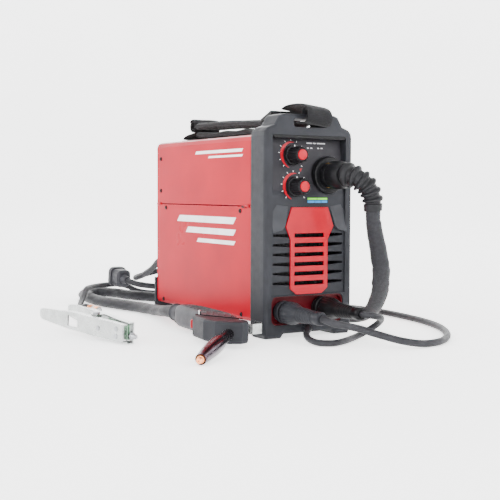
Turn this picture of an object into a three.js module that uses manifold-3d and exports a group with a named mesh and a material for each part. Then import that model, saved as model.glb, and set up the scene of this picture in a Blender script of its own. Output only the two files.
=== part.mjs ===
// Compact wire-feed (MIG) welding machine with its gun, work lead, mains cord and carrying strap.
// Millimetres. X is the machine's right, Y its rear, Z up. Inside the machine group the floor is
// z = 0; the exported group is lowered so that z = 0 is the underside of the base pan.
import * as THREE from 'three';
import { mergeVertices } from 'three/addons/utils/BufferGeometryUtils.js';
import Module from 'manifold-3d';

const wasm = await Module();
wasm.setup();

// ---- Driving dimensions -------------------------------------------------------------------
const BASE_Z = 20; // base pan underside above the floor
const CASE_X = 72.5; // half width of the sheet-metal case
const CASE_Y = 154; // half depth of the sheet-metal case
const CASE_TOP = 289.5;
const SEAM_Z = 187.5; // between the lower side panel and the door
const SHEET = 1.5;
const BEZEL_X = 75; // half width of the moulded front
const BEZEL_FRONT = -197;
const BEZEL_BACK = -154.3;
const SHOULDER_Z = 300;
const HUMP_Z = 318;
const GAP = 0.3;
const HINGE = [-72.9, 187.2]; // the door's hinge line along y, in x, z
const HINGE_Y = [-144, 144]; // the two hinges' middles
const SLOT_COUNT = 6;
const SLOT_PITCH = 13.6;
const SLOT_HEIGHT = 6;
const SLOT_FIRST_Z = 78; // centre of the lowest louvre slot
const PANEL_Z = 204; // where the louvred face meets the control panel
const KNOB_X = -25;
const KNOB_Z = [260, 215.5];
const WIRE_X = 34; // the wire's line, and the gun socket's axis
const WIRE_Z = 232;
const SOCKETS = [[-42, 38], [24, 41]]; // output sockets, x and z
const SPOOL_R = 50;
const SLEEVE_R = 10.5; // gun cable in its sleeve
const LEAD_R = 5; // work lead
const POLARITY_R = 4.5;
const MAINS_R = 5.25;

// ---- Solids -------------------------------------------------------------------------------
const AXES = {
  x: new THREE.Matrix4().makeBasis(vec(0, 1, 0), vec(0, 0, 1), vec(1, 0, 0)),
  y: new THREE.Matrix4().makeBasis(vec(1, 0, 0), vec(0, 0, 1), vec(0, -1, 0)),
  z: new THREE.Matrix4(),
};

function vec(x, y, z) {
  return new THREE.Vector3(x, y, z);
}

// A closed geometry as a manifold-3d solid with its faces pointing out.
function solid(geometry) {
  const bare = geometry.clone();
  for (const name of Object.keys(bare.attributes)) {
    if (name !== 'position') bare.deleteAttribute(name);
  }
  const merged = mergeVertices(bare, 1e-3);
  const triVerts = Uint32Array.from(merged.index.array);
  const vertProperties = Float32Array.from(merged.attributes.position.array);
  if (volume(vertProperties, triVerts) < 0) {
    for (let i = 0; i < triVerts.length; i += 3) {
      [triVerts[i], triVerts[i + 1]] = [triVerts[i + 1], triVerts[i]];
    }
  }
  return new wasm.Manifold(new wasm.Mesh({ numProp: 3, vertProperties, triVerts }));
}

function volume(points, triangles) {
  const [a, b, c] = [vec(0, 0, 0), vec(0, 0, 0), vec(0, 0, 0)];
  let total = 0;
  for (let i = 0; i < triangles.length; i += 3) {
    a.fromArray(points, 3 * triangles[i]);
    b.fromArray(points, 3 * triangles[i + 1]);
    c.fromArray(points, 3 * triangles[i + 2]);
    total += a.dot(b.cross(c));
  }
  return total;
}

function join(...pieces) {
  return pieces.reduce((whole, piece) => whole.add(piece));
}

function cut(from, ...tools) {
  return tools.reduce((whole, tool) => whole.subtract(tool), from);
}

function box(x0, x1, y0, y1, z0, z1) {
  const geometry = new THREE.BoxGeometry(x1 - x0, y1 - y0, z1 - z0);
  geometry.translate((x0 + x1) / 2, (y0 + y1) / 2, (z0 + z1) / 2);
  return solid(geometry);
}

function shapeOf(points) {
  return new THREE.Shape(points.map(([x, y]) => new THREE.Vector2(x, y)));
}

// An outline extruded along an axis from `from` to `to`: along x it is drawn in y, z; along y in
// x, z; along z in x, y. `bevel` rounds the two end edges inwards.
function slab(points, axis, from, to, bevel = 0, steps = 2) {
  const geometry = new THREE.ExtrudeGeometry(shapeOf(points), {
    depth: to - from - 2 * bevel,
    bevelEnabled: bevel > 0,
    bevelThickness: bevel,
    bevelSize: bevel,
    bevelOffset: -bevel,
    bevelSegments: steps,
  });
  geometry.translate(0, 0, axis === 'y' ? bevel - to : from + bevel);
  geometry.applyMatrix4(AXES[axis]);
  return solid(geometry);
}

// A turned body: profile of [radius, distance along the axis], starting at `at`.
function turned(profile, axis, at, segments = 16) {
  const points = profile.map(([r, h]) => new THREE.Vector2(Math.max(r, 0), h));
  const geometry = new THREE.LatheGeometry(points, segments);
  if (axis === 'x') geometry.rotateZ(-Math.PI / 2);
  if (axis === 'z') geometry.rotateX(Math.PI / 2);
  geometry.translate(...at);
  return solid(geometry);
}

function rod(radius, axis, at, length, segments = 16) {
  return turned([[0, 0], [radius, 0], [radius, length], [0, length]], axis, at, segments);
}

function tube(outer, inner, axis, at, length, segments = 20) {
  const profile = [[inner, 0], [outer, 0], [outer, length], [inner, length], [inner, 0]];
  return turned(profile, axis, at, segments);
}

function roundRect(x0, x1, y0, y1, r, n = 4) {
  const corners = [[x1 - r, y0 + r, -90], [x1 - r, y1 - r, 0], [x0 + r, y1 - r, 90], [x0 + r, y0 + r, 180]];
  const points = [];
  for (const [cx, cy, start] of corners) {
    for (let i = 0; i <= n; i++) {
      const t = THREE.MathUtils.degToRad(start + (90 * i) / n);
      points.push([cx + r * Math.cos(t), cy + r * Math.sin(t)]);
    }
  }
  return points;
}

// A bent strip's outline: an open centre line thickened to both sides with mitred corners.
function strip(line, thickness) {
  const left = [];
  const right = [];
  line.forEach((p, i) => {
    const before = line[Math.max(i - 1, 0)];
    const after = line[Math.min(i + 1, line.length - 1)];
    const a = new THREE.Vector2(p[0] - before[0], p[1] - before[1]).normalize();
    const b = new THREE.Vector2(after[0] - p[0], after[1] - p[1]).normalize();
    const along = a.clone().add(b).normalize();
    const turn = i === 0 || i === line.length - 1 ? 1 : a.dot(along);
    const k = thickness / 2 / Math.max(turn, 0.5);
    left.push([p[0] - along.y * k, p[1] + along.x * k]);
    right.unshift([p[0] + along.y * k, p[1] - along.x * k]);
  });
  return [...left, ...right];
}

// A round cord along a smooth line through the points.
function cord(points, radius, steps, sides = 10) {
  const curve = new THREE.CatmullRomCurve3(points.map((p) => vec(...p)), false, 'centripetal');
  const outline = [];
  for (let i = 0; i < sides; i++) {
    const t = (2 * Math.PI * i) / sides;
    outline.push([radius * Math.cos(t), radius * Math.sin(t)]);
  }
  const options = { steps, bevelEnabled: false, extrudePath: curve };
  return solid(new THREE.ExtrudeGeometry(shapeOf(outline), options));
}

// The outer shape of a flat coil that stands on the floor.
function coil(x, y, radius, thickness, height) {
  const profile = [
    [radius - thickness, 0.2],
    [radius + thickness, 0.2],
    [radius + thickness, height],
    [radius - thickness, height],
    [radius - thickness, 0.2],
  ];
  return turned(profile, 'z', [x, y, 0], 26);
}

const LOOK = {
  red: [0xc4122a, 0.28, 0.1],
  dark: [0x4b4c50, 0.55, 0],
  black: [0x1b1b1d, 0.6, 0],
  rubber: [0x2c2c2e, 0.8, 0],
  cable: [0x47474a, 0.75, 0],
  grey: [0x77787c, 0.55, 0],
  steel: [0xb9bcbf, 0.35, 0.9],
  zinc: [0xdfe1e2, 0.3, 0.85],
  brass: [0xb8924a, 0.35, 0.9],
  copper: [0xc9855c, 0.35, 0.9],
  board: [0x1f5a3a, 0.6, 0],
  trigger: [0xd8262c, 0.45, 0],
  web: [0x161618, 0.9, 0],
};

const machine = new THREE.Group();

function add(name, look, body, parent = machine) {
  const mesh = body.getMesh();
  const geometry = new THREE.BufferGeometry();
  const count = mesh.numProp;
  const positions = new Float32Array((mesh.vertProperties.length / count) * 3);
  for (let i = 0; i < positions.length / 3; i++) {
    for (let k = 0; k < 3; k++) positions[3 * i + k] = mesh.vertProperties[count * i + k];
  }
  geometry.setAttribute('position', new THREE.BufferAttribute(positions, 3));
  geometry.setIndex(new THREE.BufferAttribute(Uint32Array.from(mesh.triVerts), 1));
  geometry.computeVertexNormals();
  const [color, roughness, metalness] = LOOK[look];
  const material = new THREE.MeshStandardMaterial({ color, roughness, metalness });
  const part = new THREE.Mesh(geometry, material);
  part.name = name;
  parent.add(part);
}

// ---- Moulded front ------------------------------------------------------------------------
function bezelOutline(inset = 0) {
  const half = [
    [0, HUMP_Z],
    [44, HUMP_Z],
    [50, HUMP_Z - 2.5],
    [58, SHOULDER_Z + 2],
    [64, SHOULDER_Z],
    [69, SHOULDER_Z - 2],
    [73.5, SHOULDER_Z - 7],
    [BEZEL_X, SHOULDER_Z - 14],
    [BEZEL_X, 44],
    [BEZEL_X, 6],
    [BEZEL_X - 4, 0],
    [47, 0],
    [42, 6],
    [0, 6],
  ];
  const shrunk = half.map(([x, z]) => {
    const middle = 150;
    const dx = x === 0 ? 0 : inset;
    return [x - dx, z > middle ? z - inset : z + inset];
  });
  const mirrored = shrunk.slice(1, -1).map(([x, z]) => [-x, z]).reverse();
  return [...shrunk, ...mirrored];
}

// The control panel leans back from the louvred face, which stands just behind the rim.
const PANEL_FOOT_Y = -194;
const PANEL_HEAD_Y = -182;
const PANEL_HEAD_Z = 288;

function panelY(z) {
  const t = (z - PANEL_Z) / (PANEL_HEAD_Z - PANEL_Z);
  return PANEL_FOOT_Y + (PANEL_HEAD_Y - PANEL_FOOT_Y) * t;
}

function louvreTool(index) {
  const z = SLOT_FIRST_Z + index * SLOT_PITCH;
  const points = [
    [-60, z - 1],
    [-33, z - SLOT_HEIGHT / 2],
    [33, z - SLOT_HEIGHT / 2],
    [60, z - 1],
    [60, z + 2],
    [33, z + SLOT_HEIGHT / 2],
    [-33, z + SLOT_HEIGHT / 2],
    [-60, z + 2],
  ];
  return slab(points, 'y', -205, -160);
}

function controlRecess() {
  const profile = [
    [-210, PANEL_Z],
    [PANEL_FOOT_Y, PANEL_Z],
    [PANEL_HEAD_Y, PANEL_HEAD_Z],
    [-210, PANEL_HEAD_Z],
  ];
  return slab(profile, 'x', -63, 63);
}

function frontBezel() {
  let body = slab(bezelOutline(), 'y', BEZEL_FRONT, BEZEL_BACK, 5, 3);
  const hollow = slab(roundRect(-71, 71, 10, 284, 8), 'y', -175, -150);
  const louvreFace = box(-63, 63, -210, PANEL_FOOT_Y, 61, PANEL_Z + 1);
  const socketBay = slab(roundRect(-64, 60, 19, 60, 9), 'y', -210, -186);
  const slot = slab(roundRect(-28, 28, SHOULDER_Z - 0.5, SHOULDER_Z + 11.5, 4), 'y', -210, -140);
  body = cut(body, hollow, louvreFace, controlRecess(), socketBay, slot);
  for (let i = 0; i < SLOT_COUNT; i++) body = body.subtract(louvreTool(i));
  for (const [x, z] of SOCKETS) body = body.subtract(rod(14.4, 'y', [x, -200, z], 40, 18));
  for (const z of KNOB_Z) body = body.subtract(rod(4, 'y', [KNOB_X, -200, z], 40, 10));
  body = body.subtract(rod(22.4, 'y', [WIRE_X, -200, WIRE_Z], 40, 24));
  body = body.subtract(rod(27.4, 'y', [WIRE_X, -205, WIRE_Z], 14.8, 24));
  body = body.subtract(rod(5.5, 'y', [-5, -200, 14.5], 60, 14));
  return join(body, tube(7, 5, 'y', [-5, -201, 14.5], 38, 14));
}

function grilleTrim() {
  const top = SLOT_FIRST_Z + (SLOT_COUNT - 1) * SLOT_PITCH;
  const outline = [
    [-22, 62],
    [22, 62],
    [32, 70],
    [32, top - 6],
    [42, top + 13],
    [32, top + 40],
    [-30, top + 40],
    [-40, top + 13],
    [-32, top - 6],
    [-32, 70],
  ];
  let body = slab(outline, 'y', -196.6, PANEL_FOOT_Y - GAP);
  for (let i = 0; i < SLOT_COUNT; i++) {
    const z = SLOT_FIRST_Z + i * SLOT_PITCH;
    body = body.subtract(box(-25.5, 25.5, -200, -190, z - 3, z + 3));
  }
  return body;
}

function controlOverlay() {
  const face = [
    [PANEL_FOOT_Y - 0.25, PANEL_Z + 5],
    [PANEL_HEAD_Y - 0.7, PANEL_HEAD_Z - 4],
    [PANEL_HEAD_Y - 1.7, PANEL_HEAD_Z - 4],
    [PANEL_FOOT_Y - 1.25, PANEL_Z + 5],
  ];
  let body = slab(face, 'x', -61, 61);
  for (const z of KNOB_Z) body = body.subtract(rod(4, 'y', [KNOB_X, -200, z], 40, 12));
  body = body.subtract(box(WIRE_X, 70, -205, -165, 200, WIRE_Z));
  return body.subtract(rod(28.4, 'y', [WIRE_X, -205, WIRE_Z], 40, 28));
}

// A knob with a round cap, and its shaft through the panel.
function knob(z) {
  const y = panelY(z) - 3.2;
  const shaft = rod(3.3, 'y', [KNOB_X, y - 3, z], 15, 12);
  const skirt = rod(14.5, 'y', [KNOB_X, y - 5.5, z], 5, 22);
  const grip = turned([[0, 0], [9, 0], [11, 2], [12, 22], [0, 22]], 'y', [KNOB_X, y - 26, z], 18);
  return join(skirt, grip, shaft, rod(7.5, 'y', [KNOB_X, y - 27.4, z], 3, 12));
}

function gunSocketRing() {
  const y = panelY(WIRE_Z);
  const flange = turned(
    [[18.4, 0], [25.4, 0], [27, 2], [27, 9], [21.8, 9], [21.8, 22], [18.4, 22], [18.4, 0]],
    'y',
    [WIRE_X, y - 9.6, WIRE_Z],
    24,
  );
  return flange;
}

function gunAdapter() {
  const body = tube(18, 5, 'y', [WIRE_X, -196, WIRE_Z], 34, 24);
  const guide = tube(7, 2.2, 'y', [WIRE_X, -162.2, WIRE_Z], 40, 14);
  return join(body, guide);
}

function outputSocket([x, z]) {
  const profile = [[7.2, 0], [13, 0], [14, 1.5], [14, 22], [11, 22], [11, 30], [7.2, 30], [7.2, 0]];
  return turned(profile, 'y', [x, -190, z], 18);
}

// ---- Sheet-metal case ---------------------------------------------------------------------
function foldedSide(top) {
  const x = CASE_X - SHEET / 2;
  const z = BASE_Z + SHEET / 2;
  return [[53, z], [x - 6, z], [x - 1.8, z + 1.8], [x, z + 6], [x, top]];
}

function mirror(line) {
  return line.map(([x, z]) => [-x, z]);
}

function basePan() {
  const z = BASE_Z + SHEET / 2;
  const line = [[-51.5, 34], [-51.5, z], [51.5, z], [51.5, 34]];
  return slab(strip(line, SHEET), 'y', -153.7, 153.2);
}

// The lower side panel carries the fixed knuckles and the hinge pins.
function lowerLeftPanel() {
  const [x, z] = HINGE;
  let body = slab(strip(mirror(foldedSide(SEAM_Z - 1)), SHEET), 'y', -CASE_Y, CASE_Y);
  for (const y of HINGE_Y) {
    body = body.subtract(box(-78, -68, y - 4.2, y + 4.2, z - 2.2, z + 9));
    const knuckles = [-6.6, 4.2].map((dy) => rod(1.9, 'y', [x, y + dy, z], 2.4, 12));
    body = join(body, rod(1, 'y', [x, y - 6.6, z], 13.2, 12), ...knuckles);
  }
  return body;
}

function caseCover() {
  const x = CASE_X - SHEET / 2;
  const z = CASE_TOP - SHEET / 2;
  const line = [...foldedSide(z - 8), [x - 2.5, z - 2.5], [x - 8, z], [-60.8, z]];
  return slab(strip(line, SHEET), 'y', -CASE_Y, CASE_Y);
}

function sideDoor() {
  const x = -(CASE_X - SHEET / 2);
  const z = CASE_TOP - SHEET / 2;
  const line = [[-61.6, z], [x + 8, z], [x + 2.5, z - 2.5], [x, z - 8], [x, SEAM_Z + 0.4]];
  let body = slab(strip(line, SHEET), 'y', -153.2, 153.4);
  const [hx, hz] = HINGE;
  for (const y of HINGE_Y) {
    body = body.subtract(box(-78, -68, y - 6.9, y + 6.9, hz - 9, hz + 2.2));
    const arm = box(hx - 0.9, x + SHEET / 2, y - 3.9, y + 3.9, hz + 0.6, hz + 2.6);
    body = join(body, rod(1.9, 'y', [hx, y - 3.9, hz], 7.8, 12), arm);
    body = body.subtract(rod(1.05, 'y', [hx, y - 10, hz], 20, 12));
  }
  return body;
}

// ---- Rear ---------------------------------------------------------------------------------
const FAN_Z = 105;
const FAN_X = 20;

function rearPanel() {
  let body = slab(roundRect(-70, 70, 36, 286, 6), 'y', 148, 152.5);
  const across = box(FAN_X - 60, FAN_X + 60, 130, 170, FAN_Z - 2, FAN_Z + 2);
  const upright = box(FAN_X - 2, FAN_X + 2, 130, 170, FAN_Z - 60, FAN_Z + 60);
  for (const outer of [49.7, 29.7]) {
    const ring = tube(outer, outer - 15, 'y', [FAN_X, 140, FAN_Z], 20, 20);
    body = body.subtract(cut(ring, across, upright));
  }
  body = body.subtract(box(-46, -24, 140, 160, 225, 253));
  body = body.subtract(rod(8.4, 'y', [-50, 140, 88], 20, 18));
  return join(body, switchFrame(), rod(2.4, 'y', [FAN_X, 120, FAN_Z], 30, 12));
}

function rearBumper() {
  const frame = box(-BEZEL_X, BEZEL_X, 154.4, 160, 12, 62);
  const window = box(-62, 62, 153, 165, 36.5, 70);
  let body = cut(frame, window);
  for (const side of [-1, 1]) {
    const foot = [[side * 47, 0], [side * 72, 0], [side * BEZEL_X, 5], [side * BEZEL_X, 30], [side * 47, 30]];
    body = join(body, slab(foot, 'y', 154.4, 160));
  }
  return body;
}

function mainsGland() {
  const profile = [
    [5.6, 0], [11, 0], [11, 4], [8, 5], [8, 12.5], [11.5, 13],
    [11.5, 17], [9, 20], [7.2, 42], [5.6, 42], [5.6, 0],
  ];
  return turned(profile, 'y', [-50, 142, 88], 14);
}

function powerSwitch() {
  const rocker = [[155.6, -10], [157.4, -10], [153.8, 0], [155.4, 10], [150, 11], [146, 0], [150, -11]];
  const moved = rocker.map(([y, z]) => [y, z + 239]);
  return slab(moved, 'x', -41, -29);
}

function switchFrame() {
  const outer = box(-48, -22, 152.2, 155, 223, 255);
  const body = box(-45.6, -24.4, 138, 153, 225.4, 252.6);
  return cut(join(outer, body), box(-42, -28, 140, 160, 227, 251));
}

function fanRotor() {
  let body = rod(18, 'y', [FAN_X, 126, FAN_Z], 16, 20);
  for (let i = 0; i < 7; i++) {
    const geometry = new THREE.BoxGeometry(27, 2, 17);
    geometry.rotateX(0.6);
    geometry.translate(30, 134, 0);
    geometry.translate(0, -134, 0);
    geometry.rotateY((2 * Math.PI * i) / 7);
    geometry.translate(FAN_X, 134, FAN_Z);
    body = join(body, solid(geometry));
  }
  return cut(body, rod(2.6, 'y', [FAN_X, 115, FAN_Z], 40, 12));
}

// ---- Inside -------------------------------------------------------------------------------
const SHELF_Z = 181;
const WALL_X = 45;

function innerFrame() {
  const line = [[-68, SHELF_Z - 6], [-68, SHELF_Z], [WALL_X, SHELF_Z], [WALL_X, 285]];
  const body = slab(strip(line, SHEET), 'y', -148, 146);
  const motorHole = box(WALL_X - 3, WALL_X + 3, -88, -58, 206, 240);
  return cut(body, motorHole);
}

function heatSink() {
  let body = box(-48, -42, -110, 60, 40, 170);
  for (let i = 0; i < 9; i++) {
    const z = 46 + i * 14.5;
    body = join(body, box(-42.5, -16, -110, 60, z, z + 3));
  }
  return body;
}

function powerBoard() {
  const board = box(-58, -56, -130, 100, 36, 172);
  const posts = [-90, -30, 30].map((y) => box(-56.5, -48.6, y - 9, y + 9, 60, 150));
  return join(board, ...posts);
}

function transformer() {
  const core = box(2, 44, -60, 0, 40, 100);
  const winding = slab(roundRect(-3, 49, 48, 92, 12), 'y', -54, -6);
  const foot = box(6, 40, -56, -4, 22, 41);
  return join(core, winding, foot);
}

function feedMotor() {
  const can = rod(12, 'y', [58.5, -50, 227], 50, 16);
  const gearbox = box(46.3, 70.3, -92, -48, 208, 246);
  const shaft = rod(4, 'x', [WIRE_X - 5, FEED_Y, DRIVE_Z], 20, 12);
  return join(can, gearbox, shaft);
}

const ROLL_R = 12;
const IDLER_R = 9;
const DRIVE_Z = WIRE_Z - ROLL_R - 0.5;
const IDLER_Z = WIRE_Z + IDLER_R + 0.5;
const FEED_Y = -73;
const TENSION = [WIRE_X - 1.8, FEED_Y - 34.5, 250.5]; // the pressure screw's pivot

function feedPlate() {
  const plate = slab(roundRect(-112, -34, 206, 270, 5), 'x', WALL_X - 6.5, WALL_X - 1.2);
  const inlet = box(WIRE_X - 6, WALL_X - 6, -46, -36, 225, 237);
  const pivot = rod(2.9, 'x', [WIRE_X - 13, FEED_Y + 26, IDLER_Z + 3], 22, 12);
  const bore = rod(1.6, 'y', [WIRE_X, -60, WIRE_Z], 40, 10);
  const shaftHole = rod(6, 'x', [WALL_X - 10, FEED_Y, DRIVE_Z], 20, 14);
  const post = box(WIRE_X - 4, WALL_X - 6, -111, -104, 206, 247.4);
  const guide = rod(8, 'y', [WIRE_X, -115, WIRE_Z], 20, 14);
  return cut(join(plate, inlet, pivot, post), bore, shaftHole, guide);
}

function driveRoll() {
  const profile = [
    [4.1, 0], [ROLL_R, 0], [ROLL_R, 3], [ROLL_R - 1, 4],
    [ROLL_R, 5], [ROLL_R, 8], [4.1, 8], [4.1, 0],
  ];
  return turned(profile, 'x', [WIRE_X - 4, FEED_Y, DRIVE_Z], 20);
}

function idlerArm() {
  const line = [
    [FEED_Y + 26, IDLER_Z + 3],
    [FEED_Y + 14, IDLER_Z + 8],
    [FEED_Y, IDLER_Z],
    [FEED_Y - 14, IDLER_Z + 10],
    [FEED_Y - 34, IDLER_Z + 12],
  ];
  const bar = slab(strip(line, 8), 'x', WIRE_X - 12, WIRE_X - 8.4);
  const boss = rod(5.5, 'x', [WIRE_X - 12, FEED_Y + 26, IDLER_Z + 3], 8, 16);
  const pin = rod(2.4, 'x', [WIRE_X - 9, FEED_Y, IDLER_Z], 13, 12);
  return cut(join(bar, boss, pin), rod(3.2, 'x', [WIRE_X - 20, FEED_Y + 26, IDLER_Z + 3], 30, 12));
}

function idlerRoll() {
  return tube(IDLER_R, 2.5, 'x', [WIRE_X - 4, FEED_Y, IDLER_Z], 8, 24);
}

// The pressure screw, which swings forwards about an eye on the feed plate's post.
function tensionKnob() {
  const [x, y, z] = TENSION;
  const eye = rod(2.6, 'x', [x - 2, y, z], 4, 12);
  const stem = rod(2, 'z', [x, y, z], 13, 10);
  const grip = turned([[0, 0], [4.8, 0], [5.5, 3], [4.6, 20], [0, 20]], 'z', [x, y, z + 11.5], 12);
  return join(eye, stem, grip);
}

const SPOOL = [14, 62, 233]; // the spool's middle

function wireSpool() {
  const [x, y, z] = SPOOL;
  const profile = [
    [8.6, 0], [SPOOL_R, 0], [SPOOL_R, 2.5], [40, 2.5], [40, 41.5],
    [SPOOL_R, 41.5], [SPOOL_R, 44], [8.6, 44], [8.6, 0],
  ];
  return turned(profile, 'x', [x - 22, y, z], 28);
}

function spoolSpindle() {
  const [x, y, z] = SPOOL;
  const stub = rod(8.2, 'x', [x - 25, y, z], WALL_X - SHEET / 2 - GAP - x + 25, 20);
  const plate = rod(16, 'x', [x + 23, y, z], WALL_X - SHEET / 2 - GAP - x - 23, 20);
  const nut = turned([[0, 0], [13, 0], [15, 4], [15, 7], [0, 7]], 'x', [x - 31, y, z], 10);
  return join(stub, plate, nut);
}

// ---- Plugs and leads at the front ---------------------------------------------------------
function outputPlug([x, z], end) {
  const profile = [
    [0, 0], [6.6, 0], [6.6, 16], [13.2, 16], [16, 20], [15.6, 46],
    [11.5, 60], [9.5, 82], [8, end], [0, end],
  ];
  const points = profile.map(([r, h]) => new THREE.Vector2(r, h));
  const geometry = new THREE.LatheGeometry(points, 18);
  geometry.rotateX(Math.PI);
  geometry.translate(x, -175, z);
  return solid(geometry);
}

// Gun connector, and the ribbed strain relief that bends down from it.
function gunConnector() {
  const profile = [[0, 0], [14, 0], [19, 6], [20.5, 14], [20.5, 26], [17.6, 28], [17.6, 39], [0, 39]];
  return turned(profile, 'y', [WIRE_X, -236.5, WIRE_Z], 20);
}

const RELIEF = [
  [WIRE_X - 0.4, -237.6, WIRE_Z],
  [WIRE_X, -244, WIRE_Z],
  [WIRE_X + 7, -255.5, WIRE_Z - 5],
  [WIRE_X + 20, -262, WIRE_Z - 18],
  [WIRE_X + 27, -263, WIRE_Z - 34],
  [WIRE_X + 29, -262, WIRE_Z - 50],
];

function gunRelief() {
  const radii = [18.5, 17.5, 16.3, 15];
  const curve = new THREE.CatmullRomCurve3(RELIEF.map((p) => vec(...p)));
  let body = cord(RELIEF, 12.6, 7, 10);
  radii.forEach((r, i) => {
    const t = 0.2 + 0.66 * (i / (radii.length - 1));
    const geometry = new THREE.CylinderGeometry(r, r, 7, 12);
    const turn = new THREE.Quaternion().setFromUnitVectors(vec(0, 1, 0), curve.getTangentAt(t));
    geometry.applyQuaternion(turn);
    geometry.translate(...curve.getPointAt(t).toArray());
    body = join(body, solid(geometry));
  });
  return body;
}

// ---- Cords --------------------------------------------------------------------------------
const FLOOR_SLEEVE = SLEEVE_R + 0.35;
const GUN_CABLE_OUT = [
  [63, -262, 180.8], [64, -262, 166], [75, -256, 139], [94, -242, 102], [112, -219, 70],
  [127, -189, 40], [134, -152, 19], [128, -105, FLOOR_SLEEVE], [113, -50, FLOOR_SLEEVE],
  [103, 10, FLOOR_SLEEVE], [102, 70, FLOOR_SLEEVE], [103, 125, FLOOR_SLEEVE], [108, 165, FLOOR_SLEEVE],
  [120, 200, FLOOR_SLEEVE], [138, 228, FLOOR_SLEEVE], [156, 252, FLOOR_SLEEVE], [168, 276, FLOOR_SLEEVE],
];
const GUN_COIL = [275, 345, 100];
const GUN_CABLE_BACK = [
  [200, 245, 32.6], [160, 244, 32.8], [130, 242, 31], [104, 238, 23], [76, 234, 14], [42, 238, FLOOR_SLEEVE],
  [12, 270, FLOOR_SLEEVE], [-2, 305, FLOOR_SLEEVE], [-20, 338, FLOOR_SLEEVE], [-32, 375, FLOOR_SLEEVE],
  [-40, 415, FLOOR_SLEEVE], [-60, 444, FLOOR_SLEEVE], [-86, 438, FLOOR_SLEEVE], [-106, 400, FLOOR_SLEEVE],
  [-117, 340, FLOOR_SLEEVE], [-118, 280, FLOOR_SLEEVE], [-108, 225, FLOOR_SLEEVE], [-97, 175, FLOOR_SLEEVE],
  [-98, 110, 13], [-110, 48, 18.5], [-122, 14, 22.6], [-124.6, -6, 23.6], [-125.6, -19.7, 24],
];
const WORK_LEAD_OUT = [
  [-42, -289.8, 38], [-41.8, -297, 37.6], [-35, -304, 34], [-18, -307, 30], [3, -311, 25], [18, -321, 19.5],
  [29, -334, 15.5], [39, -347, 12], [52, -356, 9], [77, -359, 5.6], [109, -353, 5.4], [155, -317, 5.4],
  [203, -250, 5.4], [229, -184, 5.4], [244, -105, 5.4], [248, -50, 5.4], [244, 0, 5.4], [235, 38, 5.4],
  [227, 64, 5.4],
];
const WORK_COIL = [175, 100, 50];
const WORK_LEAD_BACK = [
  [140, 152, 47], [120, 160, 38], [106, 176, 29], [98, 195, 19], [104, 212, 9], [118, 229, 5.45],
  [135, 251, 5.45], [149, 277, 5.45], [153.5, 310, 5.45], [153.5, 345, 5.45], [147, 380, 5.45],
  [124, 405, 5.45], [88, 416, 5.45], [45, 419, 5.45], [12, 418, 11], [-14, 415, 22], [-36, 411, 27.2],
  [-58, 404, 27.6], [-82, 393, 27.6], [-108, 370, 27.6], [-124, 349, 27], [-139, 326, 18], [-154, 299, 9],
  [-173, 258, 5.4], [-195, 200, 7], [-214, 135, 14], [-230, 80, 22], [-244, 48, 28], [-256, 24, 34],
  [-259.6, 8, 36.8], [-257.7, -2.4, 36],
];
const POLARITY_LEAD = [
  [24, -289.5, 41], [24.6, -297, 40.6], [35, -303, 39], [49, -298, 36], [61, -285, 30],
  [66, -270, 22], [62, -259, 14],
  [48, -257, 7.5], [28, -265, 5], [0, -283, 5], [-26, -292, 5], [-42, -282, 5.45], [-42, -260, 7],
  [-30, -234, 11], [-11, -213, 14], [-5.4, -202, 14.5],
];
const MAINS_OUT = [
  [-50, 184.4, 88], [-50, 198, 85], [-46, 220, 76], [-42, 245, 67], [-37, 272, 60], [-30, 303, 53],
  [-26, 332, 47], [-20, 359, 43], [-6, 382, 43], [20, 391, 47], [45, 388, 52], [62, 382, 54],
];
const MAINS_COIL = [85, 320, 52.5];
const MAINS_END = [
  [52, 260, 20], [34, 262, 27], [14, 268, 30], [-8, 276, 32], [-30, 284, 34.5], [-47, 293, 37.6],
  [-54, 306, 40.6], [-55, 315.8, 42],
];

// ---- Mains plug ---------------------------------------------------------------------------
function mainsPlug() {
  const nose = turned([[0, 0], [7, 0], [9, 14], [9, 16], [0, 16]], 'x', [0, 0, 0], 16);
  const body = slab(roundRect(-14, 14, -16, 16, 8, 3), 'x', 14, 46, 3, 1);
  const face = slab(roundRect(-16.5, 16.5, -18, 18, 9, 3), 'x', 38, 47);
  const blades = [-6.4, 6.4].map((y) => box(46, 64, y - 0.8, y + 0.8, 2, 8.3));
  const ground = rod(2.4, 'x', [46, 0, -8], 21, 12);
  return join(nose, body, face, ...blades, ground);
}

// ---- Welding gun, drawn with x along its handle and -y towards the trigger ------------------
const GUN_AT = [-125.6, -20.2, 24];
const NOZZLE_TURN = -0.716;
const NOZZLE_DROOP = 0.088; // the nozzle's end rests on the floor

function gunCollar() {
  const profile = [[0, 0], [12, 0], [13, 1.5], [13, 5], [11.6, 6], [11.6, 22], [8, 22], [8, 27], [0, 27]];
  return turned(profile, 'x', [0.6, 0, 0], 22);
}

const SPLIT = [[206, 11], [140, -29]]; // where the handle meets the head

function gunHandle() {
  const outline = [
    [28, -12], [36, -16.5], [60, -18], [96, -18], [124, -21], [132, -29], [139.4, -29],
    [205.4, 10.9], [196, 19], [176, 24], [140, 26], [100, 24.5], [62, 20.5], [38, 16], [28, 11],
  ];
  const pocket = box(101, 131, -35, -7.4, -6.6, 6.6);
  return cut(slab(outline, 'z', -17, 17, 5, 3), pocket);
}

function gunTrigger() {
  const outline = [[104, -10.5], [128, -10.5], [129, -20], [124, -29], [118, -27], [110, -20], [103, -15]];
  return slab(outline, 'z', -6, 6, 1.2, 1);
}

function gunHead() {
  const outline = [
    SPLIT[1], [146, -36], [186, -38], [210, -32], [226, -18], [232, -2], [229, 8], [218, 14], SPLIT[0],
  ];
  return slab(outline, 'z', -14, 16, 4, 2);
}

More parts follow.
